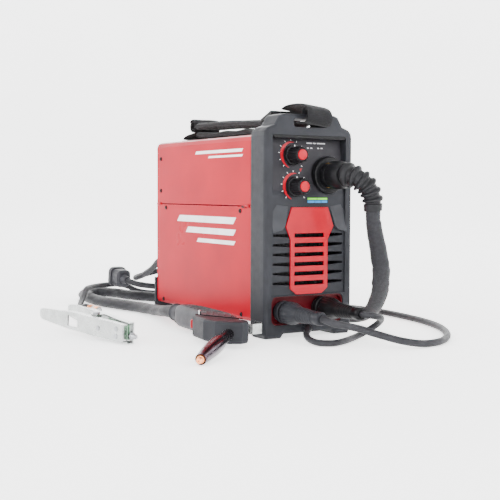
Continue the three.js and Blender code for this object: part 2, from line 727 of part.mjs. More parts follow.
function turnAtHead(geometry) {
  geometry.rotateY(NOZZLE_DROOP);
  geometry.rotateZ(NOZZLE_TURN);
  geometry.translate(214, -10, 1);
  return solid(geometry);
}

function gunNozzle() {
  const points = [
    [5.4, 8], [7.5, 8], [7.5, 44], [9.4, 57], [10.4, 70], [10.3, 88], [7.5, 136], [6.8, 140],
    [5.4, 140], [5.4, 8],
  ].map(([r, h]) => new THREE.Vector2(r, h));
  const geometry = new THREE.LatheGeometry(points, 22);
  geometry.rotateZ(-Math.PI / 2);
  return turnAtHead(geometry).subtract(slabHead(0.3));
}

// The head's outline with a small allowance, which trims the nozzle's foot.
function slabHead(allow) {
  const outline = [[140, -30], [146, -36 - allow], [186, -38 - allow], [210.2, -32.2 - allow],
    [226.3, -18.1], [232.3, -2], [229, 8], [206, 11]];
  return slab(outline, 'z', -21, 21);
}

function contactTip() {
  const points = [[0, 26], [5, 26], [5, 128], [3.8, 134], [3.8, 148], [0, 148]].map(
    ([r, h]) => new THREE.Vector2(r, h),
  );
  const geometry = new THREE.LatheGeometry(points, 14);
  geometry.rotateZ(-Math.PI / 2);
  return turnAtHead(geometry).subtract(slabHead(0.3));
}

function gunHook() {
  const line = [[193, 21.8], [199, 30], [197, 44], [186, 50], [172, 47]];
  return slab(strip(line, 2), 'z', -7, 7);
}

// ---- Work clamp, drawn with x from its jaws to its handles and z across its width -----------
const CLAMP_LENGTH = 189;
const PIVOT_X = 78;

function armLine(side) {
  return [[0, 9], [30, 10], [62, 15], [96, 16], [140, 21], [CLAMP_LENGTH - 8, 25], [CLAMP_LENGTH, 24]].map(
    ([x, y]) => [x, side * y],
  );
}

// One pressed arm: a channel open towards the other arm, with pivot ears and a jaw pad.
function clampArm(side) {
  const wide = side < 0 ? 15 : 12.8;
  const inset = side * -3.6;
  const channel = armLine(side).map(([x, y]) => [x, y + inset]);
  const outer = slab(strip(channel, 8.8), 'z', -wide, wide);
  const hollow = channel.map(([x, y]) => [x, y - side * 1.8]);
  const inner = slab(strip(hollow, 8.4), 'z', -wide + 1.6, wide - 1.6);
  const web = slab(strip(armLine(side), 1.8), 'z', -wide, wide);
  const hole = box(100, 121, -60, 60, -7.5, 7.5);
  const arm = join(cut(outer, inner), web).intersect(armPlan(wide)).subtract(hole);
  const ears = [wide - 1.6, -wide].map((z) => slab(earLine(side), 'z', z, z + 1.6));
  const whole = side < 0 ? join(arm, clampLug()) : arm;
  return cut(join(whole, ...ears, clampJaw(side)), rod(3.3, 'z', [PIVOT_X, 0, -20], 40, 12));
}

// Seen from the side the arm narrows towards its handle.
function armPlan(wide) {
  const end = CLAMP_LENGTH + 4;
  const half = [
    [-5, -wide - 1], [100, -wide - 1], [CLAMP_LENGTH - 16, -wide + 4], [CLAMP_LENGTH - 6, -wide + 5.2],
    [CLAMP_LENGTH, -wide + 8], [end, -1],
  ];
  const other = half.map(([x, z]) => [x, -z]).reverse();
  return slab([...half, ...other], 'y', -60, 60);
}

function earLine(side) {
  return [
    [PIVOT_X - 10, side * 13],
    [PIVOT_X - 8, side * -4],
    [PIVOT_X, side * -6],
    [PIVOT_X + 8, side * -4],
    [PIVOT_X + 10, side * 13],
  ];
}

function clampPin() {
  const heads = [15.4, -17.4].map((z) => rod(5, 'z', [PIVOT_X, 0, z], 2, 12));
  return join(rod(3, 'z', [PIVOT_X, 0, -17], 34, 12), ...heads);
}

function clampSpring() {
  const windings = tube(6.2, 3.7, 'z', [PIVOT_X, 0, -8], 16, 14);
  const legs = [-1, 1].map((s) => {
    const line = [[PIVOT_X + 2, s * 4.4], [PIVOT_X + 13, s * 7.6]];
    return slab(strip(line, 2), 'z', s * 5 - 1, s * 5 + 1);
  });
  return join(windings, ...legs);
}

function clampJaw(side) {
  const y = [side * 0.7, side * 8.6].sort((a, b) => a - b);
  return box(3, 27, y[0], y[1], -10.5, 10.5);
}

// The lead's lug, bolted outside the fixed arm.
function clampLug() {
  const tongue = box(103, 117, -24.6, -17.6, 8.2, 14.6);
  const barrel = rod(5.6, 'x', [112, -27, 11], 24, 14);
  const bolt = rod(2.6, 'y', [107.5, -26, 11.4], 8, 6);
  return join(tongue, barrel, bolt);
}

// ---- Strap --------------------------------------------------------------------------------
// Webbing from the front slot through the buckle, a padded length, a roll at the rear and the
// strand that comes back over the case top.
function strapBand() {
  const across = (line, thickness) => slab(strip(line, thickness), 'x', -24, 24);
  const webbing = [
    [-197, 306.5], [-160, 305.8], [-150, 303], [-140, 300.4], [-128, 299], [-112, 300], [-96, 307],
  ];
  const padded = [[-98, 309], [-86, 310.4], [0, 314.5], [60, 316], [114, 316.5]];
  const down = [[116, 306], [138, 302.6], [149, 299.6], [151, 296.6]];
  const under = [[-80, 291.2], [0, 291.2], [118, 291.6], [130, 293.4], [141, 296.4], [150.4, 297]];
  const roll = rod(12, 'x', [-24, 118, 317], 48, 18);
  return join(across(webbing, 2.6), across(padded, 11), roll, across(down, 2.4), across(under, 2.4));
}

// The loop of webbing that stands over the front hump.
function strapPad() {
  const line = [
    [-199.4, 306.3], [-206, 307.5], [-211, 312], [-212.5, 318], [-210, 325], [-203, 330.5],
    [-193, 333], [-172, 334], [-152, 332.5], [-141.5, 328.8],
  ];
  return slab(strip(line, 2.8), 'x', -20, 30);
}

function strapBuckle() {
  const plate = slab(strip([[-139, 324], [-111, 313]], 4.5), 'x', -30, 34);
  return cut(plate, box(-24, 28, -135, -128, 300, 340), box(-24, 28, -122, -115, 300, 340));
}

function rearAnchor() {
  return join(box(-26, 26, 143, 152, 289.8, 294.4), box(-26, 26, 130, 143.5, 289.8, 291.4));
}

// ---- Assembly -----------------------------------------------------------------------------
function buildShell() {
  add('front_bezel', 'dark', frontBezel());
  add('grille_trim', 'red', grilleTrim());
  add('control_overlay', 'black', controlOverlay());
  add('knob_upper', 'black', knob(KNOB_Z[0]));
  add('knob_lower', 'black', knob(KNOB_Z[1]));
  add('gun_socket_ring', 'black', gunSocketRing());
  add('gun_adapter', 'brass', gunAdapter());
  add('output_socket_left', 'black', outputSocket(SOCKETS[0]));
  add('output_socket_right', 'black', outputSocket(SOCKETS[1]));
  add('base_pan', 'steel', basePan());
  add('lower_left_panel', 'red', lowerLeftPanel());
  add('case_cover', 'red', caseCover());
  add('side_door', 'red', sideDoor());
  add('rear_panel', 'dark', rearPanel());
  add('rear_bumper', 'dark', rearBumper());
  add('mains_gland', 'black', mainsGland());
  add('power_switch', 'black', powerSwitch());
}

function buildInside() {
  add('inner_frame', 'steel', innerFrame());
  add('fan_rotor', 'black', fanRotor());
  add('heat_sink', 'steel', heatSink());
  add('power_board', 'board', powerBoard());
  add('transformer', 'copper', transformer());
  add('feed_motor', 'steel', feedMotor());
  add('feed_plate', 'grey', feedPlate());
  add('drive_roll', 'steel', driveRoll());
  add('idler_arm', 'grey', idlerArm());
  add('idler_roll', 'steel', idlerRoll());
  add('tension_knob', 'black', tensionKnob());
  add('wire_spool', 'grey', wireSpool());
  add('spool_spindle', 'black', spoolSpindle());
}

function buildLeads() {
  add('work_plug', 'grey', outputPlug(SOCKETS[0], 114));
  add('polarity_plug', 'black', outputPlug(SOCKETS[1], 114));
  add('gun_connector', 'black', gunConnector());
  add('gun_relief', 'rubber', gunRelief());
  add('gun_cable_front', 'cable', cord(GUN_CABLE_OUT, SLEEVE_R, 14, 8));
  add('gun_cable_coil', 'cable', coil(...GUN_COIL, SLEEVE_R, 42.8));
  add('gun_cable_rear', 'cable', cord(GUN_CABLE_BACK, SLEEVE_R, 24, 8));
  add('work_lead_front', 'cable', cord(WORK_LEAD_OUT, LEAD_R, 30, 8));
  add('work_lead_coil', 'cable', coil(...WORK_COIL, LEAD_R, 53.4));
  add('work_lead_rear', 'cable', cord(WORK_LEAD_BACK, LEAD_R, 34, 8));
  add('polarity_lead', 'cable', cord(POLARITY_LEAD, POLARITY_R, 18, 8));
  add('mains_cord_rear', 'cable', cord(MAINS_OUT, MAINS_R, 16, 8));
  add('mains_cord_coil', 'cable', coil(...MAINS_COIL, MAINS_R, 58.7));
  add('mains_cord_end', 'cable', cord(MAINS_END, MAINS_R, 9, 8));
  const plug = new THREE.Group();
  plug.position.set(-55.2, 317, 42.2);
  plug.rotation.set(0, -0.12, Math.PI / 2 + 0.07, 'ZYX');
  add('mains_plug', 'black', mainsPlug(), plug);
  machine.add(plug);
}

function buildGun() {
  const gun = new THREE.Group();
  gun.position.set(...GUN_AT);
  gun.rotation.set(0, 0.015, -Math.PI / 2 - 0.068, 'ZYX');
  add('gun_collar', 'black', gunCollar(), gun);
  add('gun_handle', 'grey', gunHandle(), gun);
  add('gun_trigger', 'trigger', gunTrigger(), gun);
  add('gun_head', 'dark', gunHead(), gun);
  add('gun_nozzle', 'black', gunNozzle(), gun);
  add('contact_tip', 'copper', contactTip(), gun);
  add('gun_hook', 'zinc', gunHook(), gun);
  machine.add(gun);
}

function buildClamp() {
  const clamp = new THREE.Group();
  clamp.position.set(-258, -141, 15.4);
  clamp.rotation.set(0, -0.07, Math.PI / 2 + 0.196, 'ZYX');
  add('clamp_arm_left', 'zinc', clampArm(1), clamp);
  add('clamp_arm_right', 'zinc', clampArm(-1), clamp);
  add('clamp_pin', 'steel', clampPin(), clamp);
  add('clamp_spring', 'steel', clampSpring(), clamp);
  machine.add(clamp);
}

function buildStrap() {
  add('strap_band', 'web', strapBand());
  add('strap_pad', 'web', strapPad());
  add('strap_buckle', 'black', strapBuckle());
  add('rear_anchor', 'black', rearAnchor());
}

buildShell();
buildInside();
buildLeads();
buildGun();
buildClamp();
buildStrap();
machine.position.z = -BASE_Z;

const model = new THREE.Group();
model.add(machine);
export default model;
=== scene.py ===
"""Looks for a compact wire-feed welding machine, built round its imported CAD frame.

Shapes are drawn in millimetres with the floor at z = 0; the frame's own origin is the base
pan's underside, BASE_Z above the floor. X is the machine's right, Y its rear.
"""

import math

import bmesh
import bpy
from mathutils import Euler, Matrix, Vector


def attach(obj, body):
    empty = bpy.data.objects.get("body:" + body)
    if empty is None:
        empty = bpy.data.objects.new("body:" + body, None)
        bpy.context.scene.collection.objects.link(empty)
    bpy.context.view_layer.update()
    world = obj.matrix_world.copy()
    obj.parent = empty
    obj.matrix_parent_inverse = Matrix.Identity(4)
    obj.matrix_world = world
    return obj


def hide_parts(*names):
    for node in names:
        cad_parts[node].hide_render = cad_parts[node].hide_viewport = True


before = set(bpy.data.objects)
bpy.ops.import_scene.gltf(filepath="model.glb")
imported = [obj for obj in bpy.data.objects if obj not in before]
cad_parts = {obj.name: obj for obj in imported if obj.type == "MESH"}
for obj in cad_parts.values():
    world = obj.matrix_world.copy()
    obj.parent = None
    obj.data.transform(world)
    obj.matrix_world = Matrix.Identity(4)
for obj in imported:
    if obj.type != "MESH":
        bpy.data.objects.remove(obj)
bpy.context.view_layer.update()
MM = 0.001
BASE_Z = 20.0
FLOOR = Matrix.Translation((0, 0, -BASE_Z * MM)) @ Matrix.Scale(MM, 4)

# ---- Camera -------------------------------------------------------------------------------
CAMERA_AT = (-0.7986, -1.3605, 0.1887)
CAMERA_AZ = -31.0
CAMERA_DOWN = 3.42
CAMERA_ROLL = 0.2
FOCAL_MM = 70.89  # on a 36 mm sensor

camera = bpy.data.objects.new("camera", bpy.data.cameras.new("camera"))
bpy.context.scene.collection.objects.link(camera)
camera.data.lens = FOCAL_MM
camera.data.sensor_width = 36.0
camera.data.clip_end = 50.0
aim = Euler((math.radians(90 - CAMERA_DOWN), 0, math.radians(CAMERA_AZ))).to_matrix().to_4x4()
roll = Matrix.Rotation(math.radians(CAMERA_ROLL), 4, "Z")
camera.matrix_world = Matrix.Translation(CAMERA_AT) @ aim @ roll
bpy.context.scene.camera = camera


# ---- Materials ----------------------------------------------------------------------------
def linear(r, g, b):
    """A colour given in 0-255 display values as linear RGBA."""
    def one(c):
        c /= 255.0
        return c / 12.92 if c <= 0.04045 else ((c + 0.055) / 1.055) ** 2.4
    return (one(r), one(g), one(b), 1.0)


class Look:
    """A procedural material in the making."""

    def __init__(self, name, rough=0.5, metal=0.0, coat=0.0, sheen=0.0, specular=0.5, ior=1.45):
        self.mat = bpy.data.materials.new(name)
        self.mat.use_nodes = True
        self.tree = self.mat.node_tree
        self.tree.nodes.clear()
        self.out = self.node("ShaderNodeOutputMaterial")
        self.bsdf = self.node("ShaderNodeBsdfPrincipled")
        self.link(self.bsdf.outputs["BSDF"], self.out.inputs["Surface"])
        for socket, value in (
            ("Roughness", rough), ("Metallic", metal), ("Coat Weight", coat),
            ("Coat Roughness", 0.12), ("Sheen Weight", sheen), ("Specular IOR Level", specular), ("IOR", ior),
        ):
            self.bsdf.inputs[socket].default_value = value
        self.coords = self.node("ShaderNodeTexCoord").outputs["Object"]
        self.height = None

    def node(self, kind):
        return self.tree.nodes.new(kind)

    def link(self, a, b):
        self.tree.links.new(a, b)

    def space(self, stretch=(1, 1, 1), turn=(0, 0, 0)):
        mapping = self.node("ShaderNodeMapping")
        mapping.inputs["Scale"].default_value = stretch
        mapping.inputs["Rotation"].default_value = turn
        self.link(self.coords, mapping.inputs["Vector"])
        return mapping.outputs["Vector"]

    def noise(self, scale, detail=3.0, stretch=(1, 1, 1)):
        node = self.node("ShaderNodeTexNoise")
        node.inputs["Scale"].default_value = scale
        node.inputs["Detail"].default_value = detail
        self.link(self.space(stretch), node.inputs["Vector"])
        return node.outputs["Fac"]

    def cells(self, scale):
        node = self.node("ShaderNodeTexVoronoi")
        node.inputs["Scale"].default_value = scale
        self.link(self.space(), node.inputs["Vector"])
        return node.outputs["Distance"]

    def wave(self, scale, axis, turn=(0, 0, 0), distortion=0.0):
        node = self.node("ShaderNodeTexWave")
        node.wave_type = "BANDS"
        node.bands_direction = axis
        node.inputs["Scale"].default_value = scale
        node.inputs["Distortion"].default_value = distortion
        self.link(self.space(turn=turn), node.inputs["Vector"])
        return node.outputs["Fac"]

    def spread(self, value, low, high, start=0.3, end=0.7):
        node = self.node("ShaderNodeMapRange")
        node.inputs["From Min"].default_value = start
        node.inputs["From Max"].default_value = end
        node.inputs["To Min"].default_value = low
        node.inputs["To Max"].default_value = high
        self.link(value, node.inputs["Value"])
        return node.outputs["Result"]

    def combine(self, kind, a, b):
        node = self.node("ShaderNodeMath")
        node.operation = kind
        self.link(a, node.inputs[0])
        self.link(b, node.inputs[1])
        return node.outputs["Value"]

    def colours(self, value, dark, light, start=0.3, end=0.7):
        ramp = self.node("ShaderNodeValToRGB")
        ramp.color_ramp.elements[0].position = start
        ramp.color_ramp.elements[0].color = dark
        ramp.color_ramp.elements[1].position = end
        ramp.color_ramp.elements[1].color = light
        self.link(value, ramp.inputs["Fac"])
        self.link(ramp.outputs["Color"], self.bsdf.inputs["Base Color"])
        return self

    def roughness(self, value, low, high):
        self.link(self.spread(value, low, high), self.bsdf.inputs["Roughness"])
        return self

    def bump(self, value, distance, strength=1.0):
        node = self.node("ShaderNodeBump")
        node.inputs["Strength"].default_value = strength
        node.inputs["Distance"].default_value = distance
        self.link(value, node.inputs["Height"])
        if self.height is not None:
            self.link(self.height, node.inputs["Normal"])
        self.height = node.outputs["Normal"]
        self.link(self.height, self.bsdf.inputs["Normal"])
        return self


def moulded(name, rgb, rough=0.5, grain=0.00006, spread=0.12, coat=0.0):
    """Injection-moulded plastic: fine spark-eroded grain, slight clouding of colour and gloss."""
    look = Look(name, rough=rough, coat=coat, specular=0.3, ior=1.3)
    dark = linear(*(c * (1 - spread) for c in rgb))
    light = linear(*(min(255, c * (1 + spread)) for c in rgb))
    look.colours(look.noise(38, 5), dark, light)
    look.roughness(look.noise(90, 4), rough * 0.85, min(1.0, rough * 1.18))
    return look.bump(look.cells(2600), grain, 0.7).bump(look.noise(900, 2), grain * 0.8, 0.5)


def painted(name, rgb):
    """Powder-coated sheet steel with a light orange peel and a clear gloss."""
    look = Look(name, rough=0.3, coat=0.0, specular=0.3, ior=1.22)
    dark = linear(*(c * 0.93 for c in rgb))
    light = linear(*(min(255, c * 1.05) for c in rgb))
    look.colours(look.noise(14, 4), dark, light)
    look.roughness(look.noise(9, 3), 0.27, 0.34)
    return look.bump(look.noise(1300, 2), 0.000012, 0.3)


def metal(name, rgb, rough=0.3, brushed=(1, 1, 1), spread=0.12, scale=500, depth=0.00004):
    look = Look(name, rough=rough, metal=1.0)
    dark = linear(*(c * (1 - spread) for c in rgb))
    light = linear(*(min(255, c * (1 + spread)) for c in rgb))
    grain = look.noise(scale, 4, brushed)
    look.colours(look.noise(55, 4), dark, light)
    look.roughness(grain, rough * 0.7, min(1.0, rough * 1.35))
    return look.bump(grain, depth, 0.5)


def rubbery(name, rgb, rough=0.6):
    look = Look(name, rough=rough, specular=0.3, ior=1.3)
    dark = linear(*(c * 0.84 for c in rgb))
    light = linear(*(min(255, c * 1.14) for c in rgb))
    look.colours(look.noise(70, 5), dark, light)
    look.roughness(look.noise(160, 4), rough * 0.85, min(1.0, rough * 1.2))
    return look.bump(look.noise(1500, 3), 0.00006, 0.6).bump(look.noise(120, 3), 0.0003, 0.25)


def woven(name, rgb, threads, rough=0.8, sheen=0.25, depth=0.0003):
    """Cloth: two crossing sets of threads, uneven in colour and in height."""
    look = Look(name, rough=rough, sheen=sheen, specular=0.2, ior=1.3)
    warp = look.wave(threads, "X")
    weft = look.wave(threads * 0.8, "Y")
    rise = look.wave(threads * 0.8, "Z")
    weave = look.combine("MULTIPLY", look.combine("MAXIMUM", warp, rise), weft)
    dark = linear(*(c * 0.8 for c in rgb))
    light = linear(*(min(255, c * 1.2) for c in rgb))
    tone = look.combine("ADD", look.spread(weave, 0, 0.55, 0, 1), look.spread(look.noise(240, 4), 0, 0.45))
    look.colours(tone, dark, light, 0.1, 0.85)
    look.roughness(look.noise(300, 3), rough * 0.85, min(1.0, rough * 1.15))
    return look.bump(weave, depth, 0.7).bump(look.noise(90, 3), 0.0006, 0.3)


RED = painted("red_powder_coat", (156, 0, 26)).mat
RED_PLASTIC = moulded("red_plastic", (150, 0, 24), 0.34, 0.00003, 0.06, 0.1).mat
DARK = moulded("charcoal_plastic", (34, 35, 39), 0.46, 0.00005, 0.1).mat
# A lighter copy of the charcoal plastic: painted highlight on the bezel's slanted facets.
CHARCOAL_PAINTED_HIGHLIGHT = moulded("charcoal_facet_painted_highlight", (46, 47, 51), 0.4, 0.00005, 0.1).mat
BLACK = moulded("black_plastic", (15, 15, 17), 0.36, 0.00004, 0.16).mat
PANEL = moulded("panel_film", (34, 33, 37), 0.46, 0.00003, 0.08).mat
GREY = moulded("grey_plastic", (54, 54, 58), 0.42, 0.00004, 0.1).mat
PALE = moulded("pale_plastic", (190, 190, 192), 0.5, 0.00006, 0.05).mat
# A darker copy of the red plastic: painted shade for the walls and back of the socket recess.
RED_PAINTED_SHADE = moulded("red_recess_painted_shade", (66, 4, 12), 0.4, 0.00005, 0.12).mat
RUBBER = rubbery("cable_rubber", (40, 40, 43), 0.46).mat
DARK_RUBBER = rubbery("black_rubber", (26, 26, 28), 0.42).mat
SLEEVE = woven("cable_sleeve", (38, 38, 41), 1500, 0.5, 0.05, 0.00004).mat
WEBBING = woven("webbing", (20, 20, 22), 900, 0.7, 0.08, 0.0001).mat
STITCH = rubbery("stitching", (60, 60, 62), 0.8).mat
ZINC = metal("zinc_plate", (176, 179, 178), 0.26, (1, 6, 1), 0.06, 240, 0.00006).mat
STEEL = metal("bare_steel", (160, 162, 166), 0.34, (1, 8, 1), 0.1).mat
DARK_CHROME = metal("heat_tinted_nozzle", (62, 50, 60), 0.2, (1, 1, 1), 0.3, 320).mat
COPPER = metal("copper", (226, 150, 104), 0.3, (1, 1, 5), 0.12).mat
OLD_COPPER = metal("tarnished_copper", (120, 150, 128), 0.5, (1, 1, 1), 0.25).mat
BRASS = metal("brass", (206, 168, 96), 0.28, (1, 1, 1), 0.1).mat
ALUMINIUM = metal("aluminium", (186, 188, 192), 0.36, (1, 10, 1), 0.06).mat
GREEN = moulded("green_mark", (110, 196, 56), 0.5, 0.00003, 0.08).mat
BLUE = moulded("blue_mark", (44, 120, 176), 0.5, 0.00003, 0.08).mat
WHITE = moulded("white_mark", (226, 226, 226), 0.5, 0.00003, 0.04).mat


def board_look():
    look = Look("circuit_board", rough=0.4, coat=0.2)
    tracks = look.wave(160, "Y", distortion=3.0)
    look.colours(tracks, linear(14, 70, 40), linear(36, 112, 66), 0.42, 0.58)
    look.roughness(look.noise(200, 3), 0.3, 0.5)
    return look.bump(tracks, 0.00015, 0.6).mat


def winding_look(name, rgb, turns):
    look = Look(name, rough=0.35, metal=0.6)
    wire = look.wave(turns, "Z")
    dark = linear(*(c * 0.55 for c in rgb))
    look.colours(wire, dark, linear(*rgb), 0.1, 0.8)
    look.roughness(look.noise(300, 3), 0.25, 0.45)
    return look.bump(wire, 0.0006, 0.8).mat


BOARD = board_look()
WINDING = winding_look("copper_winding", (196, 112, 66), 170)
WIRE = winding_look("wound_wire", (190, 168, 140), 300)


def finish_node(name, material, bevel=0.0, angle=35):
    """A carried-over CAD node gets a finish, and its hard edges a small round."""
    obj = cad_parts[name]
    obj.data.materials.clear()
    obj.data.materials.append(material)
    if bevel:
        mod = obj.modifiers.new("edge", "BEVEL")
        mod.width = bevel * MM
        mod.segments = 2
        mod.limit_method = "ANGLE"
        mod.angle_limit = math.radians(angle)
    return obj


# ---- Mesh building ------------------------------------------------------------------------
def frame_of(axis):
    """Rows give where local a, b and h go."""
    if axis == "x":
        return lambda a, b, h: (h, a, b)
    if axis == "y":
        return lambda a, b, h: (a, h, b)
    return lambda a, b, h: (a, b, h)


def lathe(profile, axis="y", at=(0, 0, 0), n=40, wobble=None, closed=False):
    """A turned body from (radius, height) pairs; wobble(angle, index) scales a radius."""
    go = frame_of(axis)
    verts, faces, rings = [], [], []
    for i, (r, h) in enumerate(profile):
        ring = []
        count = 1 if r < 1e-6 else n
        for k in range(count):
            t = 2 * math.pi * k / n
            q = r * (wobble(t, i) if wobble else 1.0)
            x, y, z = go(q * math.cos(t), q * math.sin(t), h)
            ring.append(len(verts))
            verts.append((x + at[0], y + at[1], z + at[2]))
        rings.append(ring)
    pairs = list(zip(rings, rings[1:]))
    if closed:
        pairs.append((rings[-1], rings[0]))
    for a, b in pairs:
        for k in range(n):
            j = (k + 1) % n
            if len(a) == 1 and len(b) > 1:
                faces.append((a[0], b[j], b[k]))
            elif len(b) == 1 and len(a) > 1:
                faces.append((a[k], a[j], b[0]))
            elif len(a) > 1:
                faces.append((a[k], a[j], b[j], b[k]))
    return verts, faces


def slab(outline, axis, low, high):
    """An outline pushed along an axis: along x it is drawn in y, z; y in x, z; z in x, y."""
    n = len(outline)
    go = frame_of(axis)
    verts = [go(a, b, h) for h in (low, high) for a, b in outline]
    faces = [tuple(range(n))[::-1], tuple(range(n, 2 * n))]
    faces += [(i, (i + 1) % n, n + (i + 1) % n, n + i) for i in range(n)]
    return verts, faces


def block(x0, x1, y0, y1, z0, z1):
    return slab([(x0, y0), (x1, y0), (x1, y1), (x0, y1)], "z", z0, z1)


def rounded(x0, x1, y0, y1, r, n=5):
    points = []
    corners = ((x1 - r, y0 + r, -90), (x1 - r, y1 - r, 0), (x0 + r, y1 - r, 90), (x0 + r, y0 + r, 180))
    for cx, cy, start in corners:
        for i in range(n + 1):
            t = math.radians(start + 90 * i / n)
            points.append((cx + r * math.cos(t), cy + r * math.sin(t)))
    return points


def merged(*shapes):
    verts, faces = [], []
    for v, f in shapes:
        base = len(verts)
        verts += list(v)
        faces += [tuple(i + base for i in face) for face in f]
    return verts, faces


def moved(shape, matrix):
    return [tuple(matrix @ Vector(v)) for v in shape[0]], shape[1]


def loft(rings):
    """Closed skin over rings of equal length, capped at both ends."""
    n = len(rings[0])
    verts = [tuple(p) for ring in rings for p in ring]
    faces = []
    for i in range(len(rings) - 1):
        for k in range(n):
            j = (k + 1) % n
            faces.append((i * n + k, i * n + j, (i + 1) * n + j, (i + 1) * n + k))
    faces.append(tuple(range(n))[::-1])
    faces.append(tuple((len(rings) - 1) * n + k for k in range(n)))
    return verts, faces


def route(points, per=6, centripetal=True):
    """A smooth line through the points (Catmull-Rom, centripetal)."""
    pts = [Vector(p) for p in points]
    pts = [2 * pts[0] - pts[1]] + pts + [2 * pts[-1] - pts[-2]]
    out = []
    for i in range(1, len(pts) - 2):
        p0, p1, p2, p3 = pts[i - 1:i + 3]
        d0, d1, d2 = (max((b - a).length ** (0.5 if centripetal else 0.0), 1e-4)
                      for a, b in ((p0, p1), (p1, p2), (p2, p3)))
        t1 = ((p1 - p0) / d0 - (p2 - p0) / (d0 + d1) + (p2 - p1) / d1) * d1
        t2 = ((p2 - p1) / d1 - (p3 - p1) / (d1 + d2) + (p3 - p2) / d2) * d1
        for k in range(per):
            t = k / per
            out.append(p1 + t1 * t + (3 * (p2 - p1) - 2 * t1 - t2) * t * t
                       + (2 * (p1 - p2) + t1 + t2) * t ** 3)
    out.append(pts[-2])
    return out


def sweep(line, ring, up=None):
    """A skin along a line. ring(i, s) gives (side, lift) pairs; s is the distance run."""
    rings, run, side = [], 0.0, None
    for i, p in enumerate(line):
        ahead = line[min(i + 1, len(line) - 1)] - line[max(i - 1, 0)]
        t = ahead.normalized()
        if i:
            run += (p - line[i - 1]).length
        if up is not None:
            want = t.cross(Vector(up))
            steady = side is None or want.length > 0.15
            side = want.normalized() if steady else (side - t * side.dot(t)).normalized()
        else:
            side = t.orthogonal() if side is None else side
            side = (side - t * side.dot(t)).normalized()
        lift = side.cross(t)
        rings.append([p + side * a + lift * b for a, b in ring(i, run)])
    return loft(rings)


def circle(r, n=12):
    return [(r * math.cos(2 * math.pi * k / n), r * math.sin(2 * math.pi * k / n)) for k in range(n)]


def piece(name, shape, material, body="machine", matrix=None, bevel=0.0, segments=2, subdivide=0, angle=32):
    """A visible piece from a shape in millimetres, riding on a CAD body."""
    verts, faces = shape
    place = FLOOR @ matrix if matrix is not None else FLOOR
    mesh = bpy.data.meshes.new(name)
    mesh.from_pydata([tuple(place @ Vector(v)) for v in verts], [], faces)
    work = bmesh.new()
    work.from_mesh(mesh)
    bmesh.ops.recalc_face_normals(work, faces=work.faces)
    work.to_mesh(mesh)
    work.free()
    mesh.materials.append(material)
    for polygon in mesh.polygons:
        polygon.use_smooth = True
    mesh.set_sharp_from_angle(angle=math.radians(angle))
    obj = bpy.data.objects.new(name, mesh)
    bpy.context.scene.collection.objects.link(obj)
    if bevel:
        mod = obj.modifiers.new("edge", "BEVEL")
        mod.width = bevel * MM
        mod.segments = segments
        mod.limit_method = "ANGLE"
        mod.angle_limit = math.radians(angle)
    if subdivide:
        mod = obj.modifiers.new("smooth", "SUBSURF")
        mod.levels = subdivide
        mod.render_levels = subdivide
    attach(obj, body)
    return obj


# ---- Routes of the cords, as in the CAD model ----------------------------------------------
F = 10.85
GUN_OUT = [
    (63, -262, 180.8), (64, -262, 166), (75, -256, 139), (94, -242, 102), (112, -219, 70),
    (127, -189, 40), (134, -152, 19), (128, -105, F), (113, -50, F), (103, 10, F), (102, 70, F),
    (103, 125, F), (108, 165, F), (120, 200, F), (138, 228, F), (156, 252, F), (168, 276, F),
]
GUN_BACK = [
    (200, 245, 32.6), (160, 244, 32.8), (130, 242, 31), (104, 238, 23), (76, 234, 14), (42, 238, F),
    (12, 270, F), (-2, 305, F), (-20, 338, F), (-32, 375, F), (-40, 415, F), (-60, 444, F),
    (-86, 438, F), (-106, 400, F), (-117, 340, F), (-118, 280, F), (-108, 225, F), (-97, 175, F),
    (-98, 110, 13), (-110, 48, 18.5), (-122, 14, 22.6), (-124.6, -6, 23.6), (-125.6, -19.7, 24),
]
WORK_OUT = [
    (-42, -289.8, 38), (-41.8, -297, 37.6), (-35, -304, 34), (-18, -307, 30), (3, -311, 25),
    (18, -321, 19.5), (29, -334, 15.5), (39, -347, 12), (52, -356, 9), (77, -359, 5.6),
    (109, -353, 5.4), (155, -317, 5.4), (203, -250, 5.4), (229, -184, 5.4), (244, -105, 5.4),
    (248, -50, 5.4), (244, 0, 5.4), (235, 38, 5.4), (227, 64, 5.4),
]
WORK_BACK = [
    (140, 152, 47), (120, 160, 38), (106, 176, 29), (98, 195, 19), (104, 212, 9), (118, 229, 5.45),
    (135, 251, 5.45), (149, 277, 5.45), (153.5, 310, 5.45), (153.5, 345, 5.45), (147, 380, 5.45),
    (124, 405, 5.45), (88, 416, 5.45), (45, 419, 5.45), (12, 418, 11), (-14, 415, 22),
    (-36, 411, 27.2), (-58, 404, 27.6), (-82, 393, 27.6), (-108, 370, 27.6), (-124, 349, 27),
    (-139, 326, 18), (-154, 299, 9), (-173, 258, 5.4), (-195, 200, 7), (-214, 135, 14),
    (-230, 80, 22), (-244, 48, 28), (-256, 24, 34), (-259.6, 8, 36.8), (-257.7, -2.4, 36),
]
POLARITY = [
    (24, -289.5, 41), (24.6, -297, 40.6), (35, -303, 39), (49, -298, 36), (61, -285, 30),
    (66, -270, 22), (62, -259, 14), (48, -257, 7.5), (28, -265, 5), (0, -283, 5), (-26, -292, 5),
    (-42, -282, 5.45), (-42, -260, 7), (-30, -234, 11), (-11, -213, 14), (-5.4, -202, 14.5),
]
MAINS_OUT = [
    (-50, 184.4, 88), (-50, 198, 85), (-46, 220, 76), (-42, 245, 67), (-37, 272, 60),
    (-30, 303, 53), (-26, 332, 47), (-20, 359, 43), (-6, 382, 43), (20, 391, 47), (45, 388, 52),
    (62, 382, 54),
]
MAINS_END = [
    (52, 260, 20), (34, 262, 27), (14, 268, 30), (-8, 276, 32), (-30, 284, 34.5), (-47, 293, 37.6),
    (-54, 306, 40.6), (-55, 315.8, 42),
]


